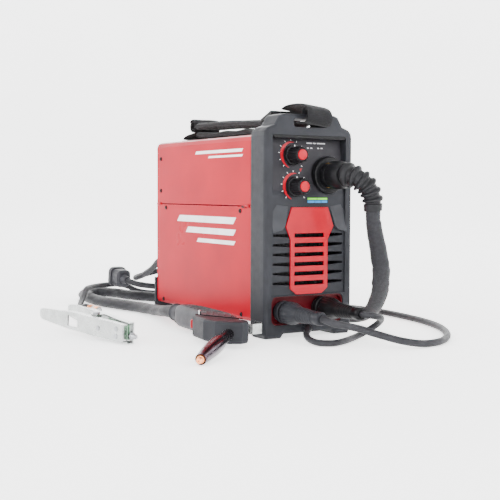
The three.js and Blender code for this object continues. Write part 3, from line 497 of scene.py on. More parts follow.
def turns(x, y, radius, start, sweep_deg, z_at):
    """Points of a coil; z_at(share of the run, degrees run) gives the height."""
    count = int(abs(sweep_deg) / 24)
    points = []
    for i in range(count + 1):
        run = sweep_deg * i / count
        t = math.radians(start + run)
        points.append((x + radius * math.cos(t), y + radius * math.sin(t), z_at(i / count, abs(run))))
    return points


def gun_height(share, run):
    return F + 21.7 * min(1.0, max(0.0, (run - 265) / 95))


GUN_ROUTE = GUN_OUT + turns(275, 345, 100, 180, -630, gun_height) + GUN_BACK
WORK_ROUTE = WORK_OUT + turns(175, 100, 50, 0, 1530, lambda s, r: 5.5 + 42.4 * s) + WORK_BACK
MAINS_ROUTE = MAINS_OUT + turns(85, 320, 52.5, 90, -1620, lambda s, r: 53.2 - 47.4 * s) + MAINS_END


def length_of(line):
    return sum((b - a).length for a, b in zip(line, line[1:]))


def round_cord(name, points, diameter, material, nodes, **facts):
    line = route(points, 5)
    data = bpy.data.curves.new(name, "CURVE")
    data.dimensions = "3D"
    data.bevel_depth = diameter * MM / 2
    data.bevel_resolution = 4
    data.use_fill_caps = True
    spline = data.splines.new("POLY")
    spline.points.add(len(line) - 1)
    for point, p in zip(spline.points, line):
        point.co = (*(FLOOR @ p), 1.0)
    spline.use_smooth = True
    data.materials.append(material)
    obj = bpy.data.objects.new(name, data)
    bpy.context.scene.collection.objects.link(obj)
    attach(obj, "machine")
    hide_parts(*nodes)
    return obj


# ---- Gun cable in its sleeve ---------------------------------------------------------------
def sleeve():
    line = route(GUN_ROUTE, 5)
    total = length_of(line)

    def ring(i, s):
        flat = min(1.0, s / 70, (total - s) / 45)
        wide = 10.5 + 2.3 * flat
        high = 10.5 - 1.5 * flat
        drop = -1.0 * flat
        points = []
        for k in range(18):
            t = 2 * math.pi * k / 18
            fold = 0.045 * math.sin(0.33 * s + 2 * t + 1.7 * math.sin(0.031 * s))
            fold += 0.035 * math.sin(0.13 * s - 3 * t + 2.3 * math.sin(0.017 * s))
            fold += 0.02 * math.sin(0.9 * s + 5 * t)
            k1 = 1 + fold * flat
            points.append((wide * math.cos(t) * k1, drop + high * math.sin(t) * (1 + 0.4 * fold * flat)))
        return points

    obj = piece("gun_sleeve", sweep(line, ring, up=(0, 0, 1)), SLEEVE, angle=60)
    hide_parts("gun_cable_front", "gun_cable_coil", "gun_cable_rear")
    return obj, [tuple(FLOOR @ p) for p in line], total * MM


# ---- Welding gun --------------------------------------------------------------------------
GUN = Matrix.Translation((-125.6, -20.2, 24)) @ Euler((0, 0.015, -math.pi / 2 - 0.068)).to_matrix().to_4x4()
NOZZLE = (GUN @ Matrix.Translation((214, -10, 1)) @ Matrix.Rotation(-0.716, 4, "Z")
          @ Matrix.Rotation(0.088, 4, "Y"))
HANDLE_LOW = [(28, -12), (36, -15.8), (60, -17.6), (96, -17.8), (116, -19.5), (128, -25.5), (139.4, -29)]
HANDLE_HIGH = [(28, 12), (38, 16.2), (62, 20.6), (100, 24.4), (140, 26), (176, 24), (205.4, 10.9)]


def along(points, count):
    line = route([(x, y, 0) for x, y in points], 12)
    runs = [0.0]
    for a, b in zip(line, line[1:]):
        runs.append(runs[-1] + (b - a).length)
    out, j = [], 0
    for i in range(count):
        want = runs[-1] * i / (count - 1)
        while j < len(runs) - 2 and runs[j + 1] < want:
            j += 1
        k = (want - runs[j]) / max(runs[j + 1] - runs[j], 1e-6)
        out.append(line[j].lerp(line[j + 1], min(1.0, k)))
    return out


def handle_point(low, high, share, angle, grow=0.0, flat=3.2):
    """On the handle's rounded skin: angle 0 faces the trigger side, 90 faces up."""
    middle = (low + high) / 2
    half = (low - high) / 2
    start = min(1.0, 0.72 + share * 4)
    c, s = math.cos(angle), math.sin(angle)
    k = (abs(c) ** flat + abs(s) ** flat) ** (-1 / flat)
    side = half * (c * k * (1 + grow / max(half.length, 1)))
    return middle + side + Vector((0, 0, s * k * (17 * start + grow)))


def handle():
    lows, highs = along(HANDLE_LOW, 34), along(HANDLE_HIGH, 34)
    rings = []
    for i, (low, high) in enumerate(zip(lows, highs)):
        rings.append([handle_point(low, high, i / 33, 2 * math.pi * k / 28) for k in range(28)])
    obj = piece("handle_shell", loft(rings), GREY, matrix=GUN, angle=50)
    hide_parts("gun_handle")
    ribs = []
    for angle in (64, 78, 92, 106, 120):
        line = [handle_point(lows[i], highs[i], i / 33, math.radians(angle), 0.2) for i in range(7, 32)]
        ribs.append(sweep(line, lambda i, s: circle(0.75, 6)))
    obj = piece("handle_ribs", merged(*ribs), BLACK, matrix=GUN, angle=60)
    line = [handle_point(lows[i], highs[i], i / 33, math.radians(47), 0.35) for i in (25, 26, 27, 28)]
    window = sweep(line,
                   lambda i, s: [(-0.5, -4), (0.9, -4), (0.9, 4), (-0.5, 4)], up=(0, 0, 1))
    obj = piece("handle_window", window, WHITE, matrix=GUN, bevel=0.3)
    for name, at, material in (("handle_mark", (25, 26), RED_PLASTIC), ("handle_tick", (28, 29), BLACK)):
        mark = sweep([handle_point(lows[i], highs[i], i / 33, math.radians(50), 0.6) for i in at],
                     lambda i, s: [(-0.5, -5), (0.9, -5), (0.9, 4), (-0.5, 4)], up=(0, 0, 1))
        obj = piece(name, mark, material, matrix=GUN, bevel=0.3)


def gun():
    collar = [(0, 0.2), (11.6, 0.2), (13, 1.2), (13, 4.8), (11.9, 5.8), (11.5, 7), (11.6, 20), (11.2, 21.6),
              (8.6, 22.2), (8.6, 23), (9.6, 23.6), (9.6, 25.4), (8.4, 26), (8.4, 30), (0, 30)]
    obj = piece("gun_swivel", lathe(collar, "x", (0.6, 0, 0), 36), GREY, matrix=GUN)
    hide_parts("gun_collar")
    band = lathe([(11.4, 0), (13.4, 0.4), (13.6, 2), (13.4, 4.4), (11.4, 5)], "x", (0.9, 0, 0), 36, closed=True)
    piece("gun_swivel_band", band, DARK_RUBBER, matrix=GUN)
    lock = lathe([(0, 0), (3.4, 0), (4.2, 1), (4.2, 6), (3.4, 7), (0, 7)], "x", (22.5, -8, -9), 16)
    piece("gun_lock_button", lock, BLACK, matrix=GUN)
    handle()
    finish_node("gun_trigger", RED_PLASTIC, 0.8)
    finish_node("gun_head", DARK, 1.6)
    finish_node("gun_hook", ZINC, 0.4)
    seam = [Vector(p) for p in ((206.4, 11.4, 16.2), (173, -9, 16.3), (140.4, -29.4, 16.2))]
    piece("head_seam", sweep(seam, lambda i, s: circle(0.7, 6)), BLACK, matrix=GUN)
    screws = [lathe([(0, 0), (1.7, 0), (1.9, -0.4), (3.2, -0.9), (3.5, -0.2), (3.6, 1)], "z", (x, y, z), 18)
              for x, y, z in ((164, -27, -14), (208, -12, -14), (170, 10, -17), (60, 4, -17), (110, 6, -17))]
    piece("gun_screws", merged(*screws), STEEL, matrix=GUN)
    nozzle = [(5.6, 12), (7.4, 12), (7.4, 42), (7.7, 46), (9.1, 54), (10.1, 62), (10.5, 72), (10.4, 86),
              (9.9, 100), (9.0, 116), (7.6, 134), (7.3, 138), (6.9, 140), (6.2, 139.6), (6, 120), (5.6, 110)]
    obj = piece("nozzle_shell", lathe(nozzle, "x", n=44, closed=True), DARK_CHROME, matrix=NOZZLE)
    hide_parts("gun_nozzle")
    tip = [(0, 26), (5, 26), (5, 112), (5.5, 113), (5.5, 138.6), (5, 139.4), (4.8, 141), (4, 141.6), (3.9, 143),
           (3.7, 147), (3, 148), (0.9, 148), (0.7, 144), (0, 144)]
    obj = piece("tip_and_diffuser", lathe(tip, "x", n=30), COPPER, matrix=NOZZLE)
    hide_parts("contact_tip")
    return bpy.data.objects["gun_swivel"]


# ---- Plugs, sockets and strain reliefs at the front -----------------------------------------
WIRE_X, WIRE_Z = 34, 232
SOCKETS = ((-42, 38), (24, 41))


def output_plug(name, node, x, z, material, slot):
    profile = [(0, 0), (6.6, 0), (6.6, 16), (13.2, 16), (15.4, 17.2), (16, 19), (16, 26), (14.7, 27), (14.7, 30),
               (15.8, 31.5), (16, 34), (15.8, 44), (15, 48), (13, 54), (11.8, 58), (11.4, 62)]
    for k in range(7):
        h = 64 + 5.4 * k
        r = 11.1 - 0.36 * k
        profile += [(r, h), (r - 0.75, h + 0.7), (r - 0.75, h + 2.3), (r, h + 3)]
    profile += [(8.9, 104), (9.3, 106), (9.2, 112), (8.3, 114), (5.4, 114), (5.2, 110), (0, 110)]

    def grip(t, i):
        return 1 + 0.022 * math.cos(22 * t) if 9 <= i <= 13 else 1.0

    shape = lathe([(r, -h) for r, h in profile], "y", (x, -175, z), 66, grip)
    obj = piece(name, shape, material)
    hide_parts(node)
    band = lathe([(14.2, 0), (15.6, 0.2), (15.7, 1.4), (14.2, 1.6)], "y", (x, -204.6, z), 44, closed=True)
    piece(name + "_ring", band, BLACK)
    return obj


def front_fittings():
    plugs = [
        output_plug("plug_left", "work_plug", *SOCKETS[0], DARK, "grey_plastic"),
        output_plug("plug_right", "polarity_plug", *SOCKETS[1], BLACK, "black_plastic"),
    ]
    socket = [(7.2, 0.2), (12.6, 0), (13.6, 0.8), (13.9, 2), (13.9, 22), (11, 22), (11, 30), (7.2, 30)]
    for side, (x, z) in zip(("left", "right"), SOCKETS):
        shape = lathe(socket, "y", (x, -190, z), 40, closed=True)
        obj = piece("socket_" + side, shape, BLACK)
        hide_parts("output_socket_" + side)
    ring = [(18.4, 0), (24.6, 0), (26.2, 1), (27, 3), (27, 8.8), (21.8, 9), (21.8, 22), (18.4, 22)]
    obj = piece("gun_socket_bezel", lathe(ring, "y", (WIRE_X, -199.6, WIRE_Z), 60, closed=True), BLACK)
    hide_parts("gun_socket_ring")
    nut = [(0, 0), (13.4, 0), (16.4, 1.4), (18.6, 5), (20, 10), (20.5, 14), (20.5, 25), (19.6, 27), (17.6, 28),
           (17.6, 30), (18.2, 30.6), (18.2, 33), (17.6, 33.6), (17.6, 39), (0, 39)]
    shape = lathe(nut, "y", (WIRE_X, -236.5, WIRE_Z), 72,
                  lambda t, i: 1 - 0.035 * max(0.0, math.cos(12 * t)) if 4 <= i <= 6 else 1.0)
    obj = piece("gun_nut", shape, BLACK)
    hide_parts("gun_connector")
    relief = route([
        (WIRE_X - 0.4, -237.6, WIRE_Z), (WIRE_X, -244, WIRE_Z), (WIRE_X + 7, -255.5, WIRE_Z - 5),
        (WIRE_X + 20, -262, WIRE_Z - 18), (WIRE_X + 27, -263, WIRE_Z - 34), (WIRE_X + 29, -262, WIRE_Z - 50),
    ], 22)
    total = length_of(relief)

    def ring_at(i, s):
        share = s / total
        base = 13.2 - 2.2 * share
        if share > 0.87:
            r = base + 1.9
        else:
            wave = math.sin(2 * math.pi * (s - 3) / 10.6)
            r = base + (4.1 - 1.3 * share) * max(0.0, wave + 0.3) ** 0.5
        if share < 0.03:
            r = 13.5
        return circle(r, 30)

    obj = piece("ribbed_relief", sweep(relief, ring_at), DARK_RUBBER, angle=48)
    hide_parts("gun_relief")
    # A sheet at the back of the socket bay and a rim round its walls, both in the darker red: painted shade in the
    # recess.
    shade_sheet = slab(rounded(-62.6, 58.6, 20.4, 58.6, 8), "y", -187.4, -186.1)
    outer, inner = rounded(-63.6, 59.6, 19.4, 59.6, 8.6), rounded(-61.9, 57.9, 21.1, 57.9, 7.4)
    edges = ((outer, -195.2), (outer, -186.4), (inner, -186.4), (inner, -195.2))
    rim = [[(x, y, z) for x, z in line] for line, y in edges]
    n = len(outer)
    verts = [p for line in rim for p in line]
    faces = [(a * n + k, a * n + (k + 1) % n, ((a + 1) % 4) * n + (k + 1) % n, ((a + 1) % 4) * n + k)
             for a in range(4) for k in range(n)]
    obj = piece("socket_bay_shade_sheet", merged(shade_sheet, (verts, faces)), RED_PAINTED_SHADE)
    return plugs


# ---- Control panel ------------------------------------------------------------------------
KNOB_X = -25


def panel_y(z):
    return -195.25 + (z - 209) * 0.154


def decal(name, outlines, material, lift=0.35):
    shapes = []
    for outline in outlines:
        n = len(outline)
        verts = [(x, panel_y(z) - lift, z) for x, z in outline]
        verts += [(x, panel_y(z) + 0.3, z) for x, z in outline]
        faces = [tuple(range(n)), tuple(range(n, 2 * n))[::-1]]
        faces += [(i, (i + 1) % n, n + (i + 1) % n, n + i) for i in range(n)]
        shapes.append((verts, faces))
    piece(name, merged(*shapes), material)


def controls():
    for name, z in (("knob_upper", 260), ("knob_lower", 215.5)):
        y = -194 + 12 * (z - 204) / 84 - 3.2
        profile = [(0, 0.6), (8.6, 0.6), (9.4, 0), (10.4, 0.5), (11, 2), (11.7, 19), (11.9, 20.6), (13.9, 21),
                   (14.5, 22), (14.5, 25), (0, 25)]
        shape = lathe(profile, "y", (KNOB_X, y - 26, z), 84,
                      lambda t, i: 1 + 0.04 * math.cos(12 * t) if 3 <= i <= 6 else 1.0)
        obj = piece(name + "_grip", shape, BLACK, body=name)
        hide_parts(name)
        cap = [(0, -1.5), (5.6, -1.4), (7, -0.8), (7.5, 0.2), (7.5, 1.4), (0, 1.4)]
        cap = piece(name + "_cap", lathe(cap, "y", (KNOB_X, y - 26, z), 32), RED_PLASTIC, body=name)
        line = block(KNOB_X - 0.6, KNOB_X + 0.6, y - 5.7, y - 4.8, z + 11.6, z + 14.1)
        piece(name + "_line", line, WHITE, body=name, bevel=0.2)
        arc = []
        for k in range(25):
            t = math.radians(75 + 175 * k / 24)
            arc.append((KNOB_X + 19.4 * math.cos(t), z + 19.4 * math.sin(t)))
        for k in range(24, -1, -1):
            t = math.radians(75 + 175 * k / 24)
            r = 19.0 - 4.2 * math.sin(math.pi * (k + 0.5) / 25)
            arc.append((KNOB_X + r * math.cos(t), z + r * math.sin(t)))
        decal(name + "_scale", [arc], RED_PLASTIC)
        ticks = []
        for k in range(11):
            t = math.radians(225 - 27 * k)
            c, s = math.cos(t), math.sin(t)
            ticks.append([(KNOB_X + r * c + w * s, z + r * s - w * c)
                          for r, w in ((20.6, -0.35), (22.6, -0.35), (22.6, 0.35), (20.6, 0.35))])
        decal(name + "_ticks", ticks, WHITE)
    pointer = [[(-14, 240.5), (-9.5, 241.5), (-12.4, 236.5)]]
    decal("panel_pointer", pointer, RED_PLASTIC)
    bars = [[(x, z), (x + w, z), (x + w, z + 1.5), (x, z + 1.5)]
            for x, z, w in ((2, 277, 9), (13, 277, 5), (20, 277, 14), (2, 270, 3), (8, 270, 3), (20, 270, 3),
                            (26, 270, 3))]
    decal("panel_marks", bars, PALE)
    shapes = [slab([(x0, 196.6), (x1, 196.6), (x1, 199.4), (x0, 199.4)], "y", -194.5, -193.9)
              for x0, x1 in ((-2, 14), (15, 32))]
    piece("range_strip_upper", merged(*shapes), GREEN)
    shapes = [slab([(x0, 192.4), (x1, 192.4), (x1, 195.6), (x0, 195.6)], "y", -194.5, -193.9)
              for x0, x1 in ((-2, 10), (11, 21), (22, 32))]
    piece("range_strip_lower", merged(*shapes), BLUE)
    finish_node("control_overlay", PANEL, 0.3)


def bezel_details():
    finish_node("front_bezel", DARK, 1.1, 28)
    finish_node("grille_trim", RED_PLASTIC, 0.5)
    facets = []
    for side in (-1, 1):
        def at(x, z, y):
            return (x if side < 0 else 2 - x, y, z)
        front = [at(-63, 178, -194.2), at(-54, 190, -194.1), at(-35, 187, -194.1), at(-42, 160, -198.6),
                 at(-47, 154, -199), at(-63, 150, -198.2)]
        back = [(x, -193.6, z) for x, _, z in front]
        faces = [(0, 1, 2, 3), (0, 3, 4, 5), (11, 10, 9, 8, 7, 6)]
        faces += [(i, 6 + i, 6 + (i + 1) % 6, (i + 1) % 6) for i in range(6)]
        facets.append((front + back, faces))
    # The facets are real shapes; their lighter charcoal is a painted highlight.
    obj = piece("bezel_facets", merged(*facets), CHARCOAL_PAINTED_HIGHLIGHT, bevel=0.6)
    # A black sheet with fins behind the louvres: painted shade seen through the vent slots.
    fins = [block(x - 0.6, x + 0.6, -173.6, -168, 64, 152) for x in range(-56, 57, 8)]
    screen = merged(block(-62, 62, -172.4, -171, 62, 154), *fins)
    piece("vent_shade_screen", screen, BLACK, bevel=0.2)
    # A brow along the top of the control panel: the brow is a real shape, its black colour a painted shadow line.
    outline = [(-60, 283.2), (60, 283.2), (62.4, 286), (62.4, 288.2), (-62.4, 288.2), (-62.4, 286)]
    shade_lip = slab(outline, "y", -197.6, -186)
    piece("panel_hood_shade", shade_lip, BLACK, bevel=0.8)


# ---- Case ---------------------------------------------------------------------------------
def screw_heads(name, spots, axis, out, body="machine", r=3.4, material=BLACK):
    """Button-head screws with a hexagon socket; spots are (a, b) on a plane `out` along an axis."""
    profile = [(0, 0.3), (1.5, 0.3), (1.7, 1.5), (2.7, 1.4), (3.3, 0.8), (3.5, 0), (3.4, -1)]
    shapes = []
    for a, b in spots:
        at = {"x": (out, a, b), "y": (a, out, b), "z": (a, b, out)}[axis]
        flip = -1 if out < 0 else 1
        scaled = [(q * r / 3.4, h * flip) for q, h in profile]
        shapes.append(lathe(scaled, axis, at, 18,
                            lambda t, i: 1 / math.cos((t % (math.pi / 3)) - math.pi / 6) * 0.9 if i in (1, 2) else 1))
    obj = piece(name, merged(*shapes), material, body=body)
    return obj


def side_stripes(name, rows, body, x=-72.5):
    """Plain slanted bars printed on the side."""
    shapes = []
    for y0, y1, z0, z1 in rows:
        lean = 0.45 * (z1 - z0)
        outline = [(y0 + lean, z0), (y1 + lean, z0), (y1 - lean, z1), (y0 - lean, z1)]
        shapes.append(slab(outline, "x", x - 0.22, x + 0.2))
    piece(name, merged(*shapes), WHITE, body=body)


def case():
    for name, bevel in (("lower_left_panel", 0.35), ("case_cover", 0.35), ("side_door", 0.35)):
        finish_node(name, RED, bevel, 50)
    finish_node("base_pan", STEEL, 0.3)
    finish_node("rear_panel", DARK, 0.4)
    finish_node("rear_bumper", DARK, 1.2)
    screw_heads("door_screws", [(138.6, 209), (138.6, 262)], "x", -72.5, "door")
    screw_heads("left_screws", [(119.8, 181), (-123.8, 179.9), (129.3, 27.5), (-128, 29)], "x", -72.5)
    spots = [(138.6, 209), (-128, 209), (129.3, 27.5), (-128, 29)]
    screw_heads("right_screws", spots, "x", 72.5)
    screw_heads("rear_screws", [(-62, 278), (62, 278), (-62, 70), (62, 150), (-62, 160)], "y", 152.5)
    # A small black catch at the front of the door seam; its black also paints the shade of the gap there.
    catch_gap_shade = merged(block(-73.3, -71.2, -141, -127, 186.7, 187.7), block(-73.6, -72.3, -139, -129, 184.4, 187))
    piece("door_catch_gap_shade", catch_gap_shade, BLACK, bevel=0.3)
    rows = [(-108, 74, 160, 170), (-108, 44, 143, 152), (-108, 8, 129, 135)]
    side_stripes("side_bars", rows, "machine")
    side_stripes("door_bars", [(-130, 14, 266, 270.5), (-130, -28, 259, 262)], "door")


def back():
    rings = [lathe([(r + 1.2 * math.cos(t), 1.2 * math.sin(t)) for t in [math.pi * k / 4 for k in range(8)]],
                   "y", (20, 153.9, 105), 48, closed=True) for r in (47, 39, 31, 23, 14)]
    centre = Matrix.Translation((20, 154.6, 105))
    bars = [moved(block(-1.2, 1.2, -1.1, 1.1, -49, 49), centre @ Matrix.Rotation(a, 4, "Y"))
            for a in (math.pi / 4, -math.pi / 4)]
    hub = lathe([(0, 3.2), (8, 3.2), (10, 2), (10.4, 0), (0, 0)], "y", (20, 153, 105), 28)
    piece("fan_guard", merged(*rings, *bars, hub), STEEL, bevel=0.2)
    gland = [(5.6, 0), (11, 0), (11, 4), (8, 5), (8, 12.4), (11.4, 12.8), (11.6, 14), (11.6, 16.4), (10.6, 17.4),
             (9.6, 19), (9.3, 20)]
    for k in range(5):
        h, r = 21.5 + 4.2 * k, 9.1 - 0.38 * k
        gland += [(r, h), (r, h + 1.9), (r - 1.0, h + 2.3), (r - 1.0, h + 3.8)]
    gland += [(7.2, 42), (5.6, 42)]
    obj = piece("gland_and_relief", lathe(gland, "y", (-50, 142, 88), 36, closed=True), DARK_RUBBER)
    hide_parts("mains_gland")
    finish_node("power_switch", BLACK, 0.4)
    on_line = block(-35.5, -34.5, 155.4, 157.4, 231.5, 235)
    piece("switch_line", on_line, WHITE, body="switch_rocker")
    plate = slab(rounded(-16, 58, 196, 246, 3), "y", 152.5, 153.1)
    piece("rear_plate", plate, PALE, bevel=0.15)
    rows = [slab([(x0, z), (x1, z), (x1, z + 1.1), (x0, z + 1.1)], "y", 153.0, 153.3)
            for x0, x1, z in ((-12, 54, 240), (-12, 30, 234), (-12, 54, 226), (-12, 42, 220), (-12, 54, 212),
                              (-12, 22, 205))]
    piece("rear_plate_lines", merged(*rows), DARK)


# ---- Inside -------------------------------------------------------------------------------
def inside():
    for name, material, bevel in (
        ("inner_frame", ALUMINIUM, 0.3), ("fan_rotor", BLACK, 0.4), ("heat_sink", ALUMINIUM, 0.3),
        ("power_board", BOARD, 0.3), ("transformer", WINDING, 0.8), ("feed_motor", STEEL, 0.6),
        ("feed_plate", GREY, 0.5), ("drive_roll", STEEL, 0.3), ("idler_arm", GREY, 0.5),
        ("idler_roll", STEEL, 0.3), ("tension_knob", BLACK, 0.5), ("wire_spool", GREY, 0.4),
        ("spool_spindle", BLACK, 0.5), ("gun_adapter", BRASS, 0.3),
    ):
        finish_node(name, material, bevel)
    wound = [(39.6, 0)] + [(45.5 + 0.5 * (k % 2), 0.6 + 1.15 * k) for k in range(33)] + [(39.6, 38)]
    obj = piece("wound_wire", lathe(wound, "x", (-5, 62, 233), 72, closed=True), WIRE, body="wire_spool")
    # Thin dark discs on the spool flange: painted shade standing in for its open windows.
    window_shade_discs = [lathe([(0, 0), (6, 0), (6, 0.5), (0, 0.5)], "x", (-8.5, 62 + 27 * math.cos(t), 233 + 27 * math.sin(t)), 20)
             for t in [math.pi * k / 3 for k in range(6)]]
    piece("spool_window_shade", merged(*window_shade_discs), DARK, body="wire_spool")
    strand = route([
        (34, 102, 245), (34.4, 60, 238), (34.2, 10, 233), (34, -35, 232), (34, -100, 232), (34, -160, 232),
    ], 8)
    piece("welding_wire", sweep(strand, lambda i, s: circle(0.45, 6)), COPPER)


# ---- Work clamp ---------------------------------------------------------------------------
CLAMP = Matrix.Translation((-258, -141, 15.4)) @ Euler((0, -0.07, math.pi / 2 + 0.196)).to_matrix().to_4x4()


def clamp():
    for name in ("clamp_arm_left", "clamp_arm_right"):
        finish_node(name, ZINC, 0.7, 30)
    finish_node("clamp_pin", STEEL, 0.5)
    finish_node("clamp_spring", STEEL, 0.4)
    for side, body, name in ((1, "clamp_near_arm", "near"), (-1, "machine", "far")):
        shim = ((-1.2, 2), (2, 0.9), (10, 0.9), (26, 1.4), (42, 5), (58, 8))
        line = [Vector((x, side * y, 1.5)) for x, y in shim]
        path = route([tuple(p) for p in line], 5)
        shape = sweep(path, lambda i, s: [(-0.5, -10), (0.5, -10), (0.5, 10.5), (-0.5, 10.5)], up=(0, 0, 1))
        shape = moved(shape, Matrix.Translation((0, side * -0.25, 0)))
        piece("jaw_shim_" + name, shape, OLD_COPPER, body=body, matrix=CLAMP, bevel=0.15)
        low, high = sorted((side * 0.4, side * 1.2))
        teeth = [block(4 + 3.2 * k, 5.6 + 3.2 * k, low, high, -9.5, 9.5) for k in range(7)]
        piece("jaw_teeth_" + name, merged(*teeth), COPPER, body=body, matrix=CLAMP)
        web = [lathe([(0, 0), (3.4, 0), (3.6, -side * 0.7), (0, -side * 0.9)], "y", (x, side * y, z), 20)
               for x, y, z in ((14, 10.4, 5), (14, 10.4, -5), (52, 14.2, 0))]
        proud = Matrix.Translation((0, side * 0.7, 0))
        piece("rivets_" + name, merged(*[moved(w, proud) for w in web]), STEEL, body=body, matrix=CLAMP)
    bolt = [(0, -12), (2.7, -12), (3.2, -11.2)]
    for k in range(7):
        bolt += [(3.5, -10.6 + 1.5 * k), (2.9, -9.9 + 1.5 * k)]
    bolt += [(3.4, 0.4), (0, 0.4)]
    nut = lathe([(0, -4.6), (4.6, -4.6), (5.6, -4), (5.6, -0.8), (0, -0.8)], "x", (0, -4.6, -3), 6)
    shape = merged(lathe(bolt, "x", (0, -4.6, -3), 18), nut)
    piece("jaw_bolt", shape, STEEL, matrix=CLAMP)
    crimp = lathe([(5.4, 0), (6.1, 0.4), (6.1, 7), (5.5, 8), (5.5, 14), (6.1, 15), (6.1, 22.6), (5.4, 23)],
                  "x", (113, -27, 11), 24, closed=True)
    piece("lug_crimp", crimp, COPPER, matrix=CLAMP)
    return bpy.data.objects["lug_crimp"]


# ---- Strap --------------------------------------------------------------------------------
def webbing_ring(thick, low, high, wave=0.0):
    """Section of a flat band: thin along the line's side, wide along X."""
    half = thick / 2
    xs = [low + (high - low) * k / 10 for k in range(11)]
    top = [(half * (0.45 if k in (0, 10) else 1.0), x) for k, x in enumerate(xs)]
    bottom = [(-a, x) for a, x in reversed(top)]
    return [(a + wave * math.sin(0.21 * b), b) for a, b in top + bottom]


def band(name, points, thick, low, high, per=8, tilt=0.0, padded=False, replaces=None):
    line = route([(0, y, z) for y, z in points], per)

    def ring(i, s):
        extra = 0.0
        if padded:
            extra = -1.6 * math.exp(-((s % 26) - 13) ** 2 / 3.0)
            ends = min(1.0, s / 9 + 0.35, (length_of(line) - s) / 9 + 0.35)
            return webbing_ring((thick + extra) * ends, low, high, 0.25)
        return webbing_ring(thick, low, high, 0.18 * math.sin(0.08 * s))

    verts, faces = sweep(line, ring, up=(1, 0, 0))
    if tilt:
        verts = [(x, y, z - tilt * (x - low)) for x, y, z in verts]
    obj = piece(name, (verts, faces), WEBBING, angle=40)
    if replaces:
        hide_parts(replaces)
    return obj


def stitches(name, rows):
    """Short raised threads; rows are (start, end, count) with points x, y, z."""
    shapes = []
    for start, end, count in rows:
        a, b = Vector(start), Vector(end)
        for k in range(count):
            p, q = a.lerp(b, (k + 0.15) / count), a.lerp(b, (k + 0.75) / count)
            shapes.append(sweep([p, (p + q) / 2 + Vector((0, 0, 0.35)), q], lambda i, s: circle(0.35, 5)))
    piece(name, merged(*shapes), STITCH)


def strap():
    band("strap_web", [(-197, 306.5), (-178, 306.2), (-160, 305.6), (-150, 303.2), (-140, 300.8),
                       (-128, 299.4), (-114, 300.6), (-104, 303.8), (-96, 307.5)], 2.4, -24, 24, replaces="strap_band")
    pad = band("shoulder_pad", [(-104, 309), (-86, 310.4), (-40, 312.6), (0, 314.5), (60, 316), (112, 316.4)],
               11.5, -24, 24, 22, padded=True)
    spiral = []
    for k in range(40):
        t = 0.6 + 4.1 * math.pi * k / 39
        r = 11.6 - 7.2 * k / 39
        spiral.append((118 + r * math.cos(t), 317 + r * math.sin(t)))
    band("strap_roll", spiral, 2.0, -24, 24, 2)
    band("strap_down", [(112, 305.6), (124, 304.4), (138, 302.6), (148, 300), (151.6, 297.6), (148, 296.4),
                        (140, 295.6), (130, 293.4), (118, 291.8), (60, 291.4), (0, 291.4), (-50, 291.3),
                        (-80, 291.4)], 2.0, -24, 24)
    band("strap_under", [(-96, 300.5), (-76, 298), (-50, 299.6), (-20, 298), (14, 299.8), (44, 298.4),
                         (76, 300.5), (106, 302)], 10.5, -23, 23)
    loop = band("strap_loop", [(-199.4, 306.3), (-206, 307.5), (-211, 312), (-212.5, 318), (-210, 325),
                               (-203, 330.2), (-193, 332.6), (-172, 333.6), (-152, 332), (-142, 328.8)],
                2.6, -14, 27, tilt=0.12)
    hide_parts("strap_pad")
    inner = []
    for k in range(18):
        t = -1.9 - 2.9 * math.pi * k / 17
        r = 10.0 - 4.4 * k / 17
        inner.append((-199.6 + r * math.cos(t), 319.6 + r * math.sin(t)))
    band("strap_tail", inner, 2.0, -11, 25, 3, tilt=0.12)
    stitches("strap_stitching", [((x, -101, 314.9), (x, 104, 322.4), 42) for x in (-21.5, 21.5)])
    for node, bevel in (("strap_buckle", 0.9), ("rear_anchor", 0.6)):
        finish_node(node, BLACK, bevel)
    bar = lathe([(0, -30), (1.7, -30), (1.7, 34), (0, 34)], "x", (2, -125, 319.6), 14)
    piece("buckle_bar", bar, STEEL)


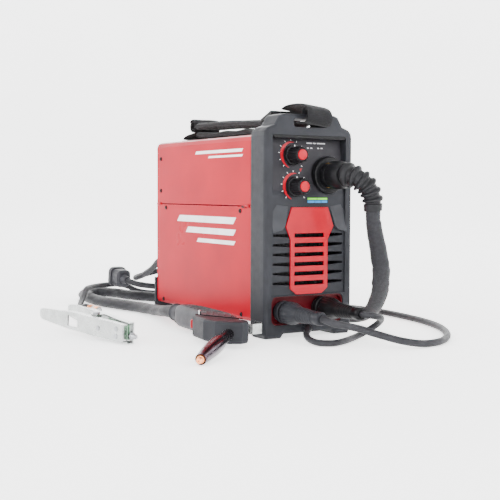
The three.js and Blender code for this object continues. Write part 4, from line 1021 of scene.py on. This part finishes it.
# ---- Stage and light ----------------------------------------------------------------------
def studio():
    profile = [(0.0, 0.0), (1.2, 0.0), (2.6, 0.0)]
    turn = [math.pi / 2 * k / 12 for k in range(1, 13)]
    profile += [(2.6 + 1.6 * math.sin(t), 1.6 - 1.6 * math.cos(t)) for t in turn]
    profile += [(4.2, 3.4)]
    verts, faces = lathe(profile, "z", (0, 0, 0), 96)
    mesh = bpy.data.meshes.new("floor_sweep")
    mesh.from_pydata([(x, y, z - BASE_Z * MM) for x, y, z in verts], [], faces)
    for polygon in mesh.polygons:
        polygon.use_smooth = True
    obj = bpy.data.objects.new("floor_sweep", mesh)
    bpy.context.scene.collection.objects.link(obj)
    look = Look("pale_floor", rough=0.75)
    look.colours(look.noise(3, 3), (0.93, 0.93, 0.93, 1), (0.97, 0.97, 0.97, 1))
    look.bsdf.inputs["Emission Color"].default_value = (1, 1, 1, 1)
    look.bsdf.inputs["Emission Strength"].default_value = 1.5
    mesh.materials.append(look.mat)
    world = bpy.data.worlds.new("studio")
    bpy.context.scene.world = world
    world.use_nodes = True
    world.node_tree.nodes["Background"].inputs["Color"].default_value = (1, 1, 1, 1)
    world.node_tree.nodes["Background"].inputs["Strength"].default_value = 1.0
    for name, at, size, power in (
        ("key", (-1.9, -1.6, 1.9), 1.8, 46), ("fill", (1.4, -2.3, 1.3), 1.6, 22),
        ("top", (0.2, 0.4, 2.6), 2.4, 30),
        ("rim", (1.2, 2.2, 1.6), 1.6, 18),
    ):
        lamp = bpy.data.lights.new(name, "AREA")
        lamp.size = size
        lamp.energy = power
        light = bpy.data.objects.new(name, lamp)
        light.location = at
        light.rotation_euler = (Vector((0, 0, 0.1)) - Vector(at)).to_track_quat("-Z", "Y").to_euler()
        bpy.context.scene.collection.objects.link(light)


# ---- Assembly -----------------------------------------------------------------------------
def cords():
    gun_end = gun()
    clamp_end = clamp()
    cable, path, length = sleeve()
    round_cord("work_lead", WORK_ROUTE, 10, RUBBER, ("work_lead_front", "work_lead_coil", "work_lead_rear"),
               far_end="connector", stiffness="medium", lay="loose", with_pieces=[clamp_end])
    round_cord("polarity_lead_cord", POLARITY, 9, RUBBER, ("polarity_lead",), far_end="object",
               stiffness="medium", lay="loose")
    plug = finish_node("mains_plug", GREY, 1.0)
    round_cord("mains_cord", MAINS_ROUTE, 10.5, RUBBER,
               ("mains_cord_rear", "mains_cord_coil", "mains_cord_end"), far_end="plug", stiffness="medium",
               lay="loose", with_pieces=[plug])


cords()
front_fittings()
controls()
bezel_details()
case()
back()
inside()
strap()
studio()
